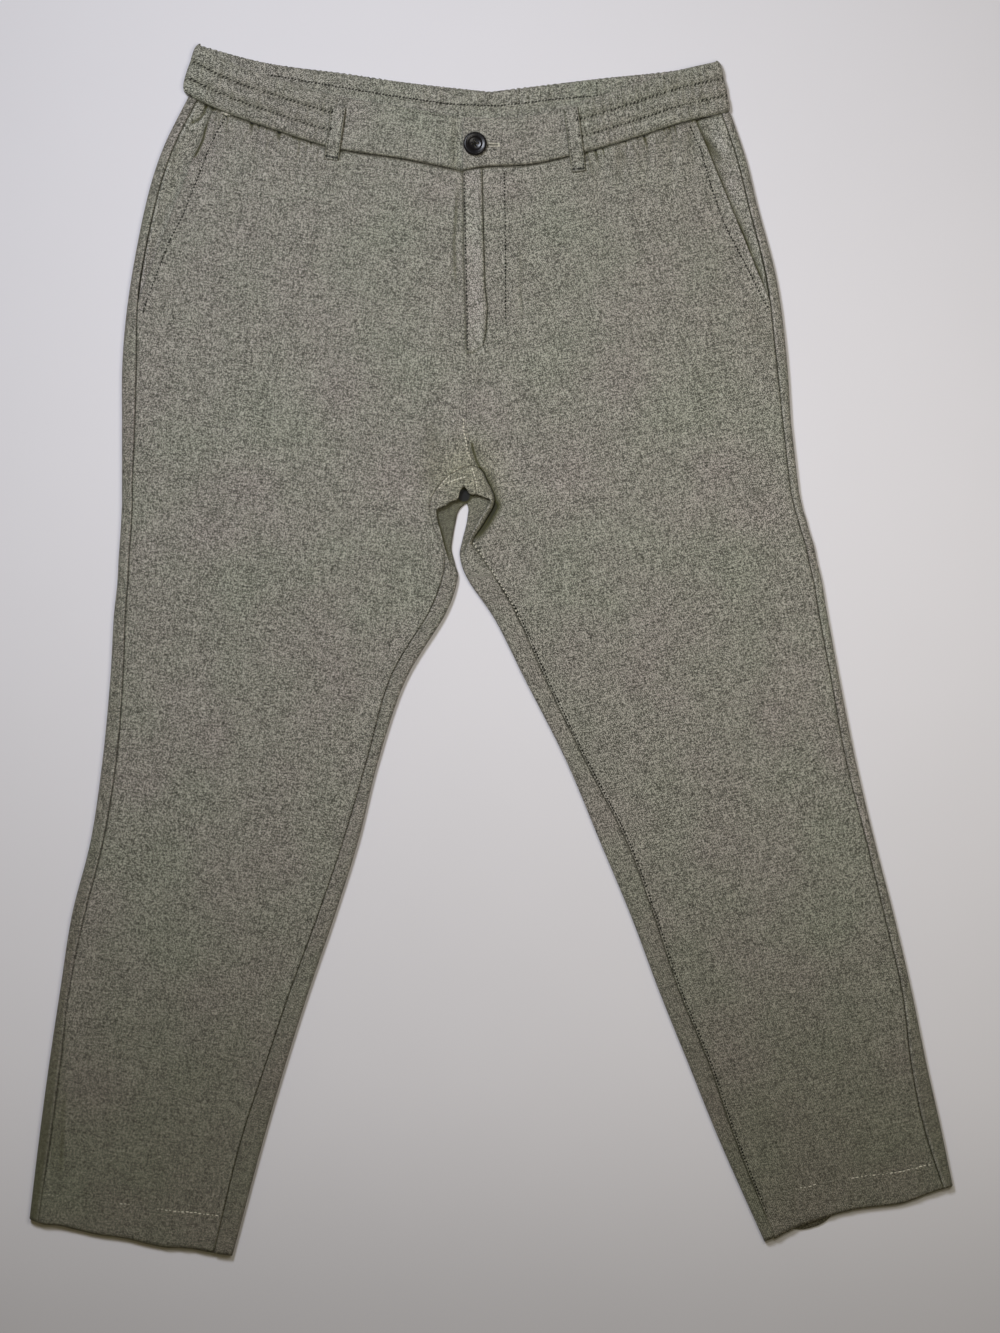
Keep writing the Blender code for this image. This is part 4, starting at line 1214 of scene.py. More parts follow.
def backGrids(side):
    seat, leg = readSeat(side), readLeg(side)
    shift = np.array([outwardSign[side] * halfGap, 0.0])
    outer, inner, edge, inseam = (points(leg, name) for name in ("outer", "inner", "edge", "end"))
    outward = awayNormals(inner, outer)
    blendIn = easeStep(np.arange(len(inner)), 0, 6)[:, None]
    outward = unit(outward * blendIn + np.array([0.0, -1.0]) * (1 - blendIn))
    away = awayNormals(inseam, outer) * halfGap
    away[0] = shift - (0.0, halfGap)
    inner[0] += shift
    edge[0] += shift
    seatRows = seatGrid(side, seat, shift)
    legRows = []
    for k in range(len(outer)):
        floorEnd = inner[k] - outward[k] * leg["lower"][k] / 2
        begin = outerRun(outer[k], inseam[k], floorEnd, leg["side"][k], backPanel["rippleSeeds"][1])
        plain = np.vstack([begin, floorRun(begin[-1, :2], floorEnd)])
        wrap = innerRun(side, leg, k, inner[k], outward[k], edge[k], inseam[k] + away[k], outer[k])
        shade = outerShade(plain, outer[k], leg["side"][k], side)
        legRows.append(np.vstack([np.column_stack([plain, shade]), wrap]))
    legRows = np.array(legRows)
    legGrid, shade = legRows[:, :, :3].copy(), legRows[:, :, 3]
    share = lengthOf(legGrid[:, :, :2] - outer[:, None]) / lengthOf(inner - outer)[:, None]
    share = np.clip(share, 0.0, 1.0)
    up = lengthOf(legGrid[:, :, :2] - legGrid[-1:, :, :2])
    front, back = (bowedHem(side, layer, share, up) for layer in ("front", "back"))
    legGrid[:, :, 1] += np.where(legGrid[:, :, 2] > garment["foldHeight"] / 2, front, back)
    seatRows.append(legGrid[0, :len(seatRows[0])])
    seatShade = [outerShade(row, start, inset, side)
                 for row, start, inset in zip(seatRows, points(seat, "outer"), seat["side"])]
    return np.array(seatRows), legGrid, leg, shade, np.array(seatShade)


def makeBack(side):
    seatPoints, legPoints, leg, shade, seatShade = backGrids(side)
    floorStart = backPanel["sideShares"] + backPanel["foldSteps"] - 1
    middle = floorStart + backPanel["floorCells"] // 2
    wrap = floorStart + backPanel["floorCells"]
    legUv, seatUv = (unfoldedUv(grid, grain[side], middle, twill[side])
                     for grid in (legPoints, seatPoints))
    crotch = np.nonzero(leg["place"] < hollow["flatTo"])[0]
    legUv[crotch, wrap:] = flatUv(legPoints[crotch, wrap:], grain[side], -twill[side])
    name = "back_panel_" + side
    mesh = gridSheet(name, legPoints, legUv)
    upper = gridSheet("seat", seatPoints, seatUv)
    bm = bmesh.new()
    bm.from_mesh(mesh)
    bm.from_mesh(upper)
    bmesh.ops.remove_doubles(bm, verts=bm.verts, dist=mergeReach * mm)
    takeMesh(bm, mesh)
    bpy.data.meshes.remove(upper)
    piece = addCloth(name, mesh, linenBack, "back_" + side)
    weights = vertexValues(mesh, legPoints, leg["hem"][:, None])
    paint(mesh, np.vstack([legPoints.reshape(-1, 3), seatPoints.reshape(-1, 3)]), "shade",
          np.append(shade, seatShade))
    addWall(piece, garment["wall"], garment["hemWall"], weights)


for side in sides:
    makeFront(side)
    makeBack(side)
print("fronts and backs made")

# Pocket facings and fly shield

facing = {
    "drop": 2.6,      # below the front at the pocket mouth
    "openAt": 20.0,   # width of the mouth at which it lies fully open
    "mouthShade": {"right": 0.50, "left": 0.85},
    "mouthReach": {"right": 2.0, "left": 2.6},
    "foldShade": 0.42,
    "tuck": 19.0,     # how far it runs on under the front
    "shown": 26,
    "hidden": 8,
}
facingFolds = {
    "right": (
        (1.8, 1.2, 0.12, ((-241, 464), (-243, 455), (-247.5, 449.5), (-255.5, 445.5))),
        (-0.5, 3, 0.30, ((-240, 460), (-247, 446), (-256, 434))),
        (-0.4, 3.5, 0.30, ((-254, 461), (-262, 446), (-268, 430))),
        (0.5, 3, 0.35, ((-262, 436), (-268, 420), (-272, 404))),
    ),
    "left": (
        (0.9, 2.6, 0.30, ((181.5, 437), (187, 428), (194, 418), (199, 410))),
        (-0.6, 4, 0.30, ((190, 440), (197, 428), (203, 416))),
        (0.7, 1.8, 0.30, ((193, 403), (196, 393), (199, 380))),
        (-0.5, 3.5, 0.30, ((200, 402), (206, 388), (211, 372))),
        (0.8, 3.5, 0.35, ((207, 366), (214, 350), (222, 334))),
        (-0.4, 4, 0.35, ((217, 366), (223, 350), (229, 336))),
        (0.5, 2.5, 0.35, ((222, 330), (228, 318), (231, 306))),
    ),
}


def facingRow(seat, k):
    # a row from the side seam to under the front: place, how open the mouth is there, share of
    # the way to it and the distance that is left
    start, end = points(seat, "outer")[k], points(seat, "end")[k]
    seam = seat["side"][k] + halfGap
    mouth = max(seat["mouth"][k], seam + 0.8)
    along = np.append(np.linspace(seam, mouth, facing["shown"] + 1),
                      np.linspace(mouth, mouth + facing["tuck"], facing["hidden"] + 1)[1:])
    share = np.clip((along - seam) / (mouth - seam), 0.0, 1.0)
    opening = min((mouth - seam) / facing["openAt"], 1.0)
    drop = facing["drop"] * (1 - opening * (1 - easeStep(share, 0, 0.85)))
    line = start + unit(end - start) * along[:, None]
    line[:, 1] += seat["fade"][k] * waistBow(seat, along / lengthOf(end - start))
    if k == 0:
        line[:, 1] -= halfGap
    return np.column_stack([line, topHeight(along) - drop, np.full(len(along), opening), share,
                            mouth - along])


def makeFacing(side):
    seat = readSeat(side)
    rows = 2 + np.count_nonzero(seat["mouth"] > seat["side"])
    rows = np.array([facingRow(seat, k) for k in range(rows)])
    x, y, z, opening, share, toMouth = np.moveaxis(rows, 2, 0)
    free = opening * easeStep(share, 0, 0.2) * easeStep(1.25 - share, 0, 0.35)
    folds = foldSum(x, y, facingFolds[side])
    below = waistY(x) - y
    seam = lengthOf(rows[:, :1, :2] - rows[:, :, :2])
    z = z + (0.22 * waves(x, 0.5 * y, 61, 14) + waistPuckers(x, y, side, below) - folds) * free
    z = z - frontPanel["seamDip"] * bell(seam, frontPanel["seamWidth"]) - 0.4 * bell(below, 1.2)
    mouth = (facing["mouthShade"][side] * np.exp(-np.abs(toMouth) / facing["mouthReach"][side])
             * np.clip(opening * 3.0, 0.0, 1.0))
    if side == "right":
        mouth = mouth * easeStep(y, 400, 425)
    # painted shade along the seam, folds, waist and mouth, with a painted highlight just inside the
    # seam
    shade = (facing["foldShade"] * folds + 0.6 * bell(seam, 0.9) - 0.22 * bell(seam - 1.9, 0.7)
             + frontPanel["waistShade"] * bell(below, 0.7) + mouth)
    grid = np.dstack([x, y, z])
    name = "pocket_facing_cloth_" + side
    mesh = gridSheet(name, grid, flatUv(grid, -grain[side], -twill[side]))
    paint(mesh, grid, "shade", np.clip(shade, -0.5, 0.95))
    addWall(addCloth(name, mesh, linen, "pocket_facing_" + side), garment["wall"])


shield = {"reach": (-14, 31), "top": 3.4, "wall": 1.1, "end": 3, "columns": 16}


def makeShield():
    seat = readSeat("left")
    rows = points(seat, "end")[seat["place"] <= shield["end"]]
    x = rows[:, :1] + np.linspace(*shield["reach"], shield["columns"])
    y = np.tile(rows[:, 1:], shield["columns"])
    y[0] = waistY(x[0]) - garment["seamGap"]
    grid = np.dstack([x, y, shield["top"] + 0.08 * waves(x, y, 67, 18)])
    mesh = gridSheet("fly_shield_cloth", grid, flatUv(grid, 0.0))
    addWall(addCloth("fly_shield_cloth", mesh, linenBack, "fly_shield"), shield["wall"])


for side in sides:
    makeFacing(side)
makeShield()
print("facings and shield made")

# Waistband

bandHeight = 45.0
elastic = {
    "top": 7.0,            # outer face of the front stretches
    "wall": 2.4,
    "step": 1.5,           # mm along the band
    "rows": 21,
    "channels": 3,
    "puff": 1.2,
    "gather": 0.5,
    "rowShade": 0.30,
    "seamShade": 0.6,
    "gatherLength": 6.5,
    "calmReach": (2, 12),  # from its folded ends, where the gathers grow
    "bulgeReach": 16,
    # how far the folded ends bulge sideways, by share of the height from the seam
    "bulge": {
        "right": ((0, 0), (0.06, 4.2), (0.17, 6.8), (0.29, 7.4), (0.45, 6.2), (0.62, 4.4),
                  (0.8, 2.8), (0.92, 1.4), (1, -0.4)),
        "left": ((0, 0), (0.15, 0.9), (0.3, 1), (0.5, 1.2), (0.65, 0.6), (0.85, 0.6), (1, -0.6)),
    },
    "fray": 0.35,
    "frayRows": (0.5, 1, 1, 0.5),
}


def sectionRows(count):
    # shares of the band's height, closer together at its two edges
    return (1 - np.cos(np.linspace(0, math.pi, count))) / 2 * 0.35 + np.linspace(0, 1, count) * 0.65


def ringed(values):
    # the values of a section's rows, up its outer face and down its inner one
    return np.concatenate([values, values[::-1], values[:1]])


def bandStrip(seam, top, middle, normal, wall, share, relief, innerRelief=0.0):
    # rows round a band's section, for every station along it
    edge = np.sqrt(np.clip(1 - (2 * share - 1) ** 14, 0.0, 1.0))
    half = (wall / 2 * (0.22 + 0.78 * edge))[:, None]
    plan = seam + (top - seam) * share[:, None, None]
    base = np.dstack([plan, np.broadcast_to(middle, plan.shape[:2])])
    outer = base + normal * (half + relief)[:, :, None]
    inner = base - normal * (half + innerRelief)[:, :, None]
    return np.concatenate([outer, inner[::-1], outer[:1]])


def gathers(along, share, seed):
    # ripples of their own for each channel between the elastic's rows
    channels = elastic["channels"]
    ripples = np.array([waves(along, 0, seed + k, elastic["gatherLength"], 0, 0.35, 7)
                        for k in range(channels)])
    return ripples[np.minimum(((share + 1e-9) * channels).astype(int), channels - 1)]


def seamEdge(share, dark):
    return dark * np.exp(-share * bandHeight / 0.9)


def elasticPath():
    # stations right round the waist: seam and top in plan, mid height, outward normal
    radius = elastic["top"] / 2
    midRadius = (elastic["top"] - elastic["wall"]) / 2
    right, left = (waistEnds[side] - outwardSign[side] * (radius + 0.5) for side in sides)

    def stretch(tables, begin, end, z, up):
        x = np.linspace(begin, end, int(abs(end - begin) / elastic["step"]))
        return *bandLine(tables, x), np.full(len(x), z), np.tile([0.0, 0.0, up], (len(x), 1))

    def turn(side, angles):
        inward, flat = -outwardSign[side], np.zeros(len(angles))
        seam, top = bandLine(frontBand, np.array([waistEnds[side]]))
        offset = np.column_stack([inward * (radius - midRadius * np.cos(angles)), flat])
        normal = np.column_stack([-inward * np.cos(angles), flat, np.sin(angles)])
        return seam + offset, top + offset, radius + midRadius * np.sin(angles), normal

    angles = np.radians(np.linspace(80, -80, 9))
    frontZ = radius + midRadius
    parts = (
        stretch(frontBand, elasticEnds["right"] - halfGap, right, frontZ, 1.0),
        turn("right", angles),
        stretch(backBand, right, left, radius - midRadius, -1.0),
        turn("left", angles[::-1]),
        stretch(frontBand, left, elasticEnds["left"] + halfGap, frontZ, 1.0),
    )
    return [np.concatenate(columns) for columns in zip(*parts)]


def makeElastic():
    seam, top, middle, normal = elasticPath()
    seam = seam + (0.0, garment["waistGap"])
    path = np.column_stack([(seam + top) / 2, middle])
    along = runLength(path)
    onTop = easeStep(middle, 2.5, 5)
    corner = {side: np.abs(path[:, 0] - waistEnds[side]) for side in sides}
    calm = 0.25 + 0.75 * easeStep(np.minimum(*corner.values()), *elastic["calmReach"])
    share = sectionRows(elastic["rows"])
    shape = (np.abs(np.sin(math.pi * share * elastic["channels"])) ** 0.55)[:, None]
    relief = (elastic["puff"] * (shape - 0.75)
              + elastic["gather"] * gathers(along, share, 31) * (0.25 + 0.75 * shape))
    innerRelief = waves(along, 0, 37, 13, 0, 0.5) + 0.6 * gathers(along, share, 43)
    grid = bandStrip(seam, top, middle, normal, elastic["wall"], share, relief * onTop * calm,
                     0.22 * innerRelief * (1 - onTop) * calm * (0.3 + 0.7 * shape))
    share, dent = ringed(share), 1 - ringed(shape)
    for side in sides:
        near = easeStep(elastic["bulgeReach"] - corner[side], 0, elastic["bulgeReach"])
        bulge = smoothLine(share, *np.array(elastic["bulge"][side]).T)
        grid[:, :, 0] += outwardSign[side] * bulge[:, None] * near
    fray = elastic["fray"] * waves(along, 0, 47, 4, 0) * (1 - onTop)
    upper = elastic["rows"] - 2
    grid[upper:upper + 4, :, 1] += fray * np.array(elastic["frayRows"])[:, None]
    # painted shade in the channel dents between the rows, along the seam and in the gathers'
    # creases
    rowShade = elastic["rowShade"] * dent * (0.35 + 0.65 * onTop)
    inside = ((share > 0.1) & (share < 0.9))[:, None]
    addStrip("waistband_gathered", "waistband_elastic", grid, 1,
             shade=rowShade * inside + seamEdge(share, elastic["seamShade"])[:, None],
             gather=0.20 * onTop * calm * (0.5 + 0.5 * dent))


flatBand = {
    "top": 6.8,
    "underTop": 4.5,      # where the right end lies under the left one
    "dip": (-35, -27),
    "wall": 1.8,
    "step": 1.6,
    "rows": 19,
    "seamShade": 0.3,
}


def makeFlatBand(side, begin, end, endTop, seed):
    x = np.linspace(begin, end, int(abs(end - begin) / flatBand["step"]))
    seam, top = bandLine(frontBand, x)
    seam = seam + (0.0, garment["waistGap"])
    height = flatBand["top"] + (endTop - flatBand["top"]) * easeStep(x, *flatBand["dip"])
    share = sectionRows(flatBand["rows"])
    y = seam[:, 1] + (top - seam)[:, 1] * share[:, None]
    relief = (0.10 * waves(x, y, seed, 26) + 0.04 * waves(x, y, seed + 1, 9)
              - 0.10 * bell((share - 0.93)[:, None] * bandHeight, 1.3))
    grid = bandStrip(seam, top, height - flatBand["wall"] / 2, np.array([0.0, 0.0, 1.0]),
                     flatBand["wall"], share, relief)
    return addStrip("waistband_flat_" + side, "waistband_" + side, grid, outwardSign[side],
                    shade=ringed(seamEdge(share, flatBand["seamShade"])))


makeElastic()
makeFlatBand("right", elasticEnds["right"] + halfGap, underlapEnd, flatBand["underTop"], 51)
leftBand = makeFlatBand("left", overlapEnd, elasticEnds["left"] - halfGap, flatBand["top"], 53)
print("waistband made")

# Belt loops

loops = {"right": ((-128.5, 459), (-135, 415)), "left": ((68, 458), (75, 405))}
loopShape = {
    "width": 12.7,
    "wall": 1.4,
    "puff": 0.55,         # of the elastic under it
    "gap": 0.15,
    "arch": 0.6,
    "rest": 6.9,
    "rows": 17,
    "steps": 44,
    "stitchLine": 4.6,    # from its middle
    "edgeShade": 0.75,
    "faceLight": 0.08,
}


def loopFrame(side):
    # its two ends, and the ways down and across it
    top, bottom = np.array(loops[side], float)
    down = unit(bottom - top)
    return top, bottom, down, np.array([-down[1], down[0]])


def makeBeltLoop(side):
    top, bottom, down, across = loopFrame(side)
    length = lengthOf(bottom - top)
    seam = (top[1] - waistY(bottom[0])) / abs(down[1])
    over = elastic["top"] + sum(loopShape[key] for key in ("puff", "gap", "wall"))
    arched, rest = over + loopShape["arch"], loopShape["rest"]
    stations = ((0, over - 0.5), (1.5, over), (seam * 0.35, arched), (seam * 0.7, arched),
                (seam - 1, over), (seam + 3, (over + rest) / 2), (seam + 6, rest),
                (length, rest - 0.2))
    place = np.linspace(0.0, length, loopShape["steps"])
    height = smoothLine(place, *np.array(stations).T)
    slope = np.gradient(height, place)[:, None]
    normal = np.column_stack([-slope * down, np.ones(len(place))]) / np.sqrt(1 + slope ** 2)
    centre, half = top + down * place[:, None], across * loopShape["width"] / 2
    share = sectionRows(loopShape["rows"])
    offset = np.abs(share - 0.5)[:, None] * loopShape["width"]
    relief = (0.05 * waves(place, share[:, None] * 12, 77, 8)
              - 0.22 * bell(offset - loopShape["stitchLine"], 0.7))
    grid = bandStrip(centre - half, centre + half, height - loopShape["wall"] / 2, normal,
                     loopShape["wall"], share, relief)
    fromSide = np.minimum(share, 1 - share) * loopShape["width"]
    shade = loopShape["edgeShade"] * np.exp(-fromSide / 0.8) - loopShape["faceLight"]
    addStrip("belt_loop_cloth_" + side, "belt_loop_" + side, grid, -1, shade=ringed(shade))


for side in sides:
    makeBeltLoop(side)
print("belt loops made")

# Button and buttonhole

button = {
    "centre": (-13.0, 428.0),
    "base": 7.5,
    # the turned face: radius and height above the base
    "profile": ((0, 1.45), (4.6, 1.55), (5.4, 1.9), (6, 2.55), (6.5, 2.75), (7, 2.7), (7.6, 2.95),
                (8.4, 3.1), (9.1, 2.85), (9.7, 2.2), (10, 1.4), (9.9, 0.7), (9.3, 0.15), (8.2, 0),
                (0, 0)),
    "steps": 72,
    "holeRadius": 0.95,
    "holeReach": 2.25,
    "turn": 6.0,          # degrees that its holes are turned
    "sharpAngle": 50,
    # the thread: height above the base, radius, offset of the two strands, arch of each pair
    "strand": (1.15, 0.3, 0.28, (0.35, 0.55)),
    "shank": (1.5, 1.2, 2.9, 6.15),     # radius below and above, length, height of its middle
}
buttonhole = {"start": (-24.5, 427.6), "end": (5.6, 427.2), "width": 0.75, "cord": 1.05}
holeLine = np.array([(-1.5, 427.35), (6.3, 427.2)])


def cutAway(piece, cutter):
    # takes the cutter's shape out of the piece for good
    cut = piece.modifiers.new("cut", "BOOLEAN")
    cut.operation = "DIFFERENCE"
    cut.solver = "EXACT"
    cut.object = cutter
    solid = piece.evaluated_get(bpy.context.evaluated_depsgraph_get())
    mesh = bpy.data.meshes.new_from_object(solid)
    piece.modifiers.clear()
    old, piece.data = piece.data, mesh
    bpy.data.meshes.remove(old)
    bpy.data.objects.remove(cutter)


def holePlaces():
    angles = np.radians(90 * np.arange(4) + button["turn"])
    ring = np.column_stack([np.cos(angles), np.sin(angles)])
    return button["centre"] + button["holeReach"] * ring


def makeButton():
    bm = bmesh.new()
    centre = Vector((*button["centre"], button["base"])) * mm
    ring = [bm.verts.new(centre + Vector((radius, 0.0, height)) * mm)
            for radius, height in button["profile"]]
    edges = [bm.edges.new(pair) for pair in zip(ring, ring[1:])]
    bmesh.ops.spin(bm, geom=ring + edges, cent=centre, axis=(0.0, 0.0, 1.0),
                   angle=2 * math.pi, steps=button["steps"], use_merge=True)
    bmesh.ops.remove_doubles(bm, verts=bm.verts, dist=0.01 * mm)
    bmesh.ops.recalc_face_normals(bm, faces=bm.faces)
    piece = addObject("button_turned", takeMesh(bm, "button_turned"))
    drill = bmesh.new()
    radius = button["holeRadius"] * mm
    for place in holePlaces():
        bmesh.ops.create_cone(drill, cap_ends=True, segments=16, depth=8 * mm, radius1=radius,
                              radius2=radius, matrix=Matrix.Translation(
                                  Vector((*place, button["base"] + 1)) * mm))
    cutAway(piece, addObject("drill", takeMesh(drill, "drill")))
    for face in piece.data.polygons:
        face.use_smooth = True
    piece.data.set_sharp_from_angle(angle=math.radians(button["sharpAngle"]))
    dress(piece, [buttonFinish()], ["button"])


def threadBar(bm, begin, end, radius, arch):
    # one strand between two points, arched a little
    begin, end = Vector(begin) * mm, Vector(end) * mm
    way = end - begin
    axes = (Vector((-way.y, way.x, 0)).normalized() * radius * mm,
            Vector((0, 0, 1)) * radius * mm, way / 2)
    matrix = Matrix(axes).transposed().to_4x4()
    matrix.translation = (begin + end) / 2 + Vector((0, 0, arch)) * mm
    bmesh.ops.create_uvsphere(bm, u_segments=10, v_segments=8, radius=1.0, matrix=matrix)


def makeButtonThread():
    bm = bmesh.new()
    places = holePlaces()
    height, radius, offset, arches = button["strand"]
    for begin, end, arch in zip(places, places[2:], arches):
        beside = unit(np.array([begin[1] - end[1], end[0] - begin[0]])) * offset
        for shift in (-beside, beside):
            threadBar(bm, (*(begin + shift), button["base"] + height),
                      (*(end + shift), button["base"] + height), radius, arch)
    lower, upper, length, height = button["shank"]
    bmesh.ops.create_cone(bm, cap_ends=True, segments=20, radius1=lower * mm, radius2=upper * mm,
                          depth=length * mm, matrix=Matrix.Translation(
                              Vector((*button["centre"], height)) * mm))
    for face in bm.faces:
        face.smooth = True
    bmesh.ops.recalc_face_normals(bm, faces=bm.faces)
    piece = addObject("button_thread", takeMesh(bm, "button_thread"))
    dress(piece, [darkThreadWithShade], ["button_shank"])


def cutButtonhole():
    begin, end = Vector(buttonhole["start"]), Vector(buttonhole["end"])
    way = end - begin
    bm = bmesh.new()
    matrix = (Matrix.Translation(Vector((*(begin + end) / 2, flatBand["top"])) * mm)
              @ Matrix.Rotation(math.atan2(way.y, way.x), 4, "Z")
              @ Matrix.Diagonal((way.length * mm, buttonhole["width"] * mm, 12 * mm, 1)))
    bmesh.ops.create_cube(bm, size=1.0, matrix=matrix)
    cutAway(leftBand, addObject("slit", takeMesh(bm, "slit")))


cutButtonhole()
makeButton()
makeButtonThread()
print("button made and buttonhole cut")

# Stitches

sewing = {
    "rise": 0.05,         # of a stitch's middle above the cloth
    "drop": 60.0,         # height from which its place is found
    "batch": 40,          # stitches made in one bmesh
}
# thread, step, length, width, height, lean in degrees, unevenness; "both" takes turns
stitchKinds = {
    "fine": (darkThreadWithShade, 2.9, 1.9, 0.9, 0.5, 0, 0.2),
    "mixed": ("both", 1.8, 1.5, 1.05, 0.6, 0, 0.25),
    "dotted": (darkThreadWithShade, 3, 1.9, 1.55, 0.55, 0, 0.2),
    "dense": (darkThreadWithShade, 2.3, 2.2, 1.1, 0.4, 0, 0.1),
    "gathered": (softThread, 3.4, 3, 1.4, 0.55, 50, 0.3),
    "chain": (darkThreadWithShade, 2.9, 2.4, 1.35, 0.5, 20, 0.2),
    "pale": (paleThread, 3, 2, 1.25, 0.7, 0, 0.2),
    "hem": (paleThread, 3.6, 2.4, 0.75, 0.45, 0, 0.5),
    "hemFaint": (dullThread, 3.6, 2.4, 0.7, 0.4, 0, 0.5),
    "side": (dullThread, 2.9, 2.2, 0.7, 0.4, 0, 0.2),
    "sideDark": (softThread, 2.6, 2, 0.7, 0.4, 0, 0.3),
    "dots": (darkThreadWithShade, 2.9, 1.8, 1.6, 0.6, 0, 0.2),
    "loop": (darkThreadWithShade, 2.6, 1.7, 0.8, 0.45, 0, 0.2),
    "bar": (darkThreadWithShade, 0.8, 2.4, 0.7, 0.5, 90, 0.15),
    "tack": (paleThread, 0.9, 1.9, 0.6, 0.5, 62, 0.45),
    "cord": (paleThread, 0.6, 1.25, 0.5, 0.55, 84, 0.1),
    "holeBar": (paleThread, 0.5, 1.6, 0.5, 0.6, 88, 0.1),
}
threads = (darkThreadWithShade, paleThread, dullThread, softThread)


def laidSurface():
    # the outer faces of all the cloth, for stitches to lie on
    corners, faces = [], []
    for piece in clothPieces:
        start = len(corners)
        corners += [vertex.co.copy() for vertex in piece.data.vertices]
        faces += [[start + index for index in face.vertices] for face in piece.data.polygons]
    return BVHTree.FromPolygons(corners, faces)


def evenSteps(line, step):
    # places at even steps along a line, and its way at each of them
    line = np.array(line, float)
    along = runLength(line)
    want = np.linspace(step / 2, along[-1] - step / 2, max(int(round(along[-1] / step)), 1))
    places, ahead, behind = (pointsAt(line, along, want + shift) for shift in (0.0, 0.5, -0.5))
    return places, unit(ahead - behind)


def stitchPlaces(line, kind, draw):
    # where each stitch of a row goes, as matrices for a ball of radius 1
    _, step, length, width, height, lean, uneven = stitchKinds[kind]
    for place, way in zip(*evenSteps(line, step)):
        jitter = draw.uniform(-1, 1, 4) * uneven
        start = Vector((*(place + jitter[:2] * 0.6), sewing["drop"])) * mm
        hit, normal, _, _ = surface.ray_cast(start, Vector((0.0, 0.0, -1.0)))
        if hit is None:
            continue
        if normal.z < 0:
            normal = -normal
        turn = math.atan2(way[1], way[0]) + math.radians(lean * (1 + jitter[2] * 0.5))
        forward = Vector((math.cos(turn), math.sin(turn), 0.0))
        forward = (forward - normal * forward.dot(normal)).normalized()
        across = normal.cross(forward)
        size = 1 + jitter[3]
        axes = (across * width * size / 2, normal * height / 2, forward * length * size / 2)
        matrix = Matrix([axis * mm for axis in axes]).transposed().to_4x4()
        matrix.translation = hit + normal * sewing["rise"] * mm
        yield matrix


def sew(name, rows, seed):
    # one piece of stitches from its rows, each a line and the kind of its stitches
    draw = np.random.default_rng(seed)
    mesh = bpy.data.meshes.new(name)
    whole = bmesh.new()
    for line, kind in rows:
        thread = stitchKinds[kind][0]
        matrices = list(stitchPlaces(line, kind, draw))
        for first in range(0, len(matrices), sewing["batch"]):
            batch = matrices[first:first + sewing["batch"]]
            bm = bmesh.new()
            for matrix in batch:
                bmesh.ops.create_uvsphere(bm, u_segments=6, v_segments=4, radius=1.0,
                                          matrix=matrix)
            ballFaces = len(bm.faces) // len(batch)
            for number, face in enumerate(bm.faces):
                odd = (number // ballFaces) % 2
                face.material_index = odd if thread == "both" else threads.index(thread)
                face.smooth = True
            bmesh.ops.recalc_face_normals(bm, faces=bm.faces)
            whole.from_mesh(takeMesh(bm, mesh))
    dress(addObject(name, takeMesh(whole, mesh)), threads, [])


def between(line, low, high):
    return line[(line[:, 1] >= low) & (line[:, 1] <= high)]


def seamRun(side, offset, low, high):
    # beside the side seam, on the front
    seat, leg = readSeat(side), readLeg(side)
    starts, ends = (joined(points(seat, name), points(leg, name)) for name in ("outer", "end"))
    inset = joined(seat["side"], leg["side"]) + offset
    return between(starts + unit(ends - starts) * inset[:, None], low, high)


def inseamRun(side, offset, low, high):
    leg = readLeg(side)
    ends = points(leg, "end")
    return between(ends - awayNormals(ends, points(leg, "outer")) * offset, low, high)


def hemRun(side, begin, end):
    # a stretch of the hem's row, by shares of its width from the outer side
    plan = laid[side][:, :, :2]
    up = lengthOf(plan - plan[-1:]).mean(axis=1)
    row = plan[np.argmin(np.abs(up - hemTurn["up"]))]
    share = lengthOf(row - row[0]) / lengthOf(row[-1] - row[0])
    return row[(share >= begin) & (share <= end)]


def bandRun(share, begin, end):
    seam, top = bandLine(frontBand, np.linspace(begin, end, 60))
    return seam + (top - seam) * share


# along the side seam and the inseam: distance from it, from, to, kind
seamRows = ((0.5, -455, 440, "sideDark"), (2.2, -455, 275, "side"))
inseamRows = {
    "right": ((0.8, -480, 60, "sideDark"), (2.4, -480, 40, "side")),
    "left": ((0.8, -480, 60, "sideDark"), (2.4, -480, 40, "dots"), (1.5, 25, 93, "mixed")),
}
pocketStitches = {
    "right": ((-223.5, 453), (-232.6, 437.8), (-240.4, 420.8), (-251.2, 392.7), (-261.4, 367.2),
              (-271.6, 347.7), (-287.2, 307.3), (-295, 284.5)),
    "left": ((169, 444), (178.8, 422.1), (187.9, 390.4), (197.6, 362.3), (208.7, 340.4),
             (218.4, 322.2), (229.3, 300.1), (235.5, 289)),
}
# stretches of the hems' rows: from, to, kind
hemStretches = {
    "right": ((0.02, 0.10, "hem"), (0.10, 0.42, "hemFaint"), (0.42, 0.50, "hem"),
              (0.50, 0.62, "hemFaint"), (0.62, 0.98, "hem")),
    "left": ((0.02, 0.50, "hem"), (0.50, 0.66, "hemFaint"), (0.66, 0.80, "hem"),
             (0.80, 0.98, "hemFaint")),
}
pocketTack = (((-228.4, 455.4), (-221, 453)), "tack")
flyRows = (
    (((-22.3, 404), (-21.5, 358.7), (-20.2, 307.7), (-19.3, 253)), "dotted"),
    (fly["line"][:-1], "dense"),
    (((11.7, 404.6), (12.8, 335.8), (12.8, 279)), "dots"),
    (((-23, 196), (-22.9, 186.2), (-21.3, 178.5), (-20, 170.9), (-18.4, 164.1), (-16.2, 159.8)),
     "pale"),
)
crotchRows = (
    (((-15.7, 154), (-14, 148), (-11.9, 141), (-11.2, 134.5)), "pale"),
    (((-23.4, 153.6), (-29.3, 151.8), (-33.8, 148), (-39.1, 142.6), (-43.8, 135.5)), "pale"),
    (((-20.8, 146.2), (-29.3, 143.7), (-37, 140.6)), "pale"),
)
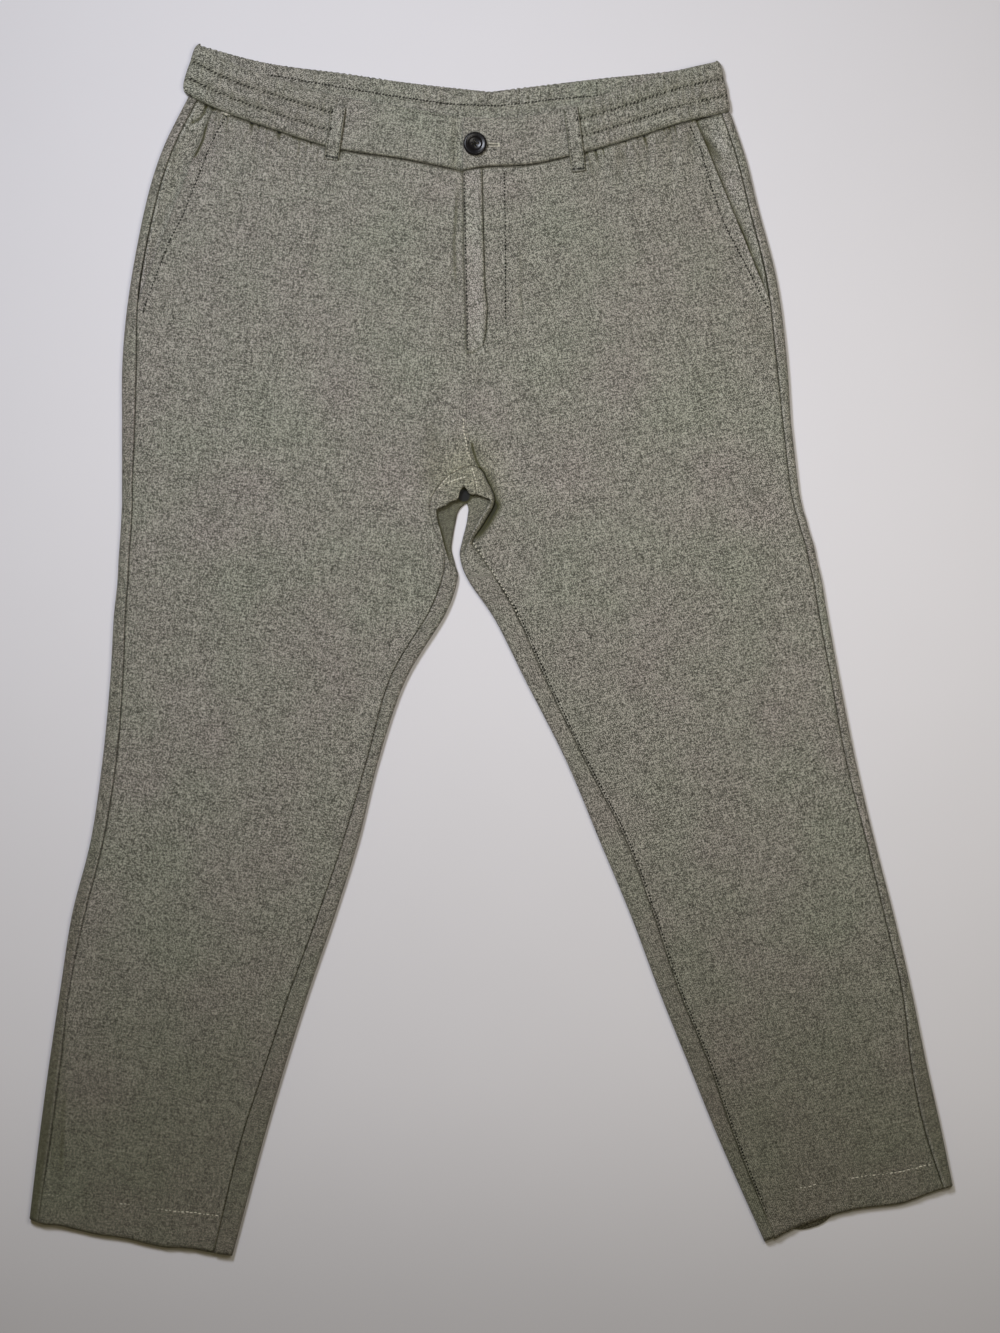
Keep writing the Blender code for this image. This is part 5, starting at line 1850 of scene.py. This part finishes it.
backWaistRows = (
    (((-190, 488), (-119.5, 476), (-88, 470.5), (-36, 463), (-0.5, 461.5), (8, 461.5),
      (59, 467.5), (90.5, 470), (100.5, 472)), "chain"),
    (((-70, 455.5), (-50, 453), (-32.5, 450.6), (-27.5, 452), (-27.5, 457.5)), "fine"),
    (((90.5, 482), (90.5, 471)), "fine"),
)
buttonholeRows = (
    (holeLine + (0.0, buttonhole["cord"]), "cord"),
    (holeLine - (0.0, buttonhole["cord"]), "cord"),
    (((7.2, 425.6), (7.2, 429)), "holeBar"),
    (((0.4, 432), (3.4, 431.4), (5, 432.6), (8.8, 432.3)), "fine"),
    (((9.3, 432.4), (9.3, 427.4)), "fine"),
)


def frontRows(side):
    rows = [(pocketStitches[side], "dotted")]
    rows += [(seamRun(side, *run), kind) for *run, kind in seamRows]
    rows += [(inseamRun(side, *run), kind) for *run, kind in inseamRows[side]]
    rows += [pocketTack] if side == "right" else []
    rows += [(hemRun(side, *run), kind) for *run, kind in hemStretches[side]]
    return rows + (list(flyRows) if side == "left" else [])


def waistRows():
    begin, end = waistEnds["right"] - 2.0, waistEnds["left"] + 1.0
    rows = []
    for share in (0.32, 0.655):
        rows.append((bandRun(share, begin, elasticEnds["right"] - 1.0), "gathered"))
        rows.append((bandRun(share, elasticEnds["left"] + 1.0, end)[::-1], "gathered"))
    return rows + list(backWaistRows)


def loopRows(side):
    top, bottom, down, across = loopFrame(side)
    rows = [((top + down * 2 + across * offset, bottom - down * 1.5 + across * offset), "loop")
            for offset in (-loopShape["stitchLine"], loopShape["stitchLine"])]
    bar = bottom - down * 2.2
    return rows + [((bar - across * 5.5, bar + across * 5.5), "bar")]


surface = laidSurface()
for side in sides:
    sew("stitches_front_" + side, frontRows(side), 101)
sew("stitches_back_right", crotchRows, 103)
sew("stitches_elastic", waistRows(), 107)
for side in sides:
    sew("belt_loop_stitches_" + side, loopRows(side), 109)
sew("stitches_buttonhole", buttonholeRows, 113)
print("stitches sewn")

# the cut of what shows of each piece of cloth: width, length and area in mm, what it lies on and
# the stitches it carries; a band or loop is given as it is folded
cuts = {
    "front_panel_right": (320, 1010, 230000, ("back_panel_right", "pocket_facing_cloth_right"),
                          ("stitches_front_right",)),
    "front_panel_left": (320, 1010, 230000, ("back_panel_left", "pocket_facing_cloth_left",
                                             "fly_shield_cloth"), ("stitches_front_left",)),
    "back_panel_right": (390, 1030, 290000, (), ("stitches_back_right",)),
    "back_panel_left": (390, 1030, 290000, (), ()),
    "pocket_facing_cloth_right": (55, 190, 7500, ("back_panel_right",), ()),
    "pocket_facing_cloth_left": (55, 190, 7500, ("back_panel_left",), ()),
    "fly_shield_cloth": (50, 135, 6500, ("back_panel_left", "back_panel_right"), ()),
    "waistband_gathered": (47, 900, 42000, ("back_panel_right", "back_panel_left"),
                           ("stitches_elastic",)),
    "waistband_flat_right": (45, 150, 6700, ("waistband_gathered",), ()),
    "waistband_flat_left": (45, 102, 4500, ("waistband_flat_right",), ("stitches_buttonhole",)),
    "belt_loop_cloth_right": (12.7, 60, 760, ("waistband_flat_right",),
                              ("belt_loop_stitches_right",)),
    "belt_loop_cloth_left": (12.7, 60, 760, ("waistband_flat_left",),
                             ("belt_loop_stitches_left",)),
}
for name, (width, length, area, under, sewn) in cuts.items():
    list(under)
    [bpy.data.objects[other] for other in sewn]
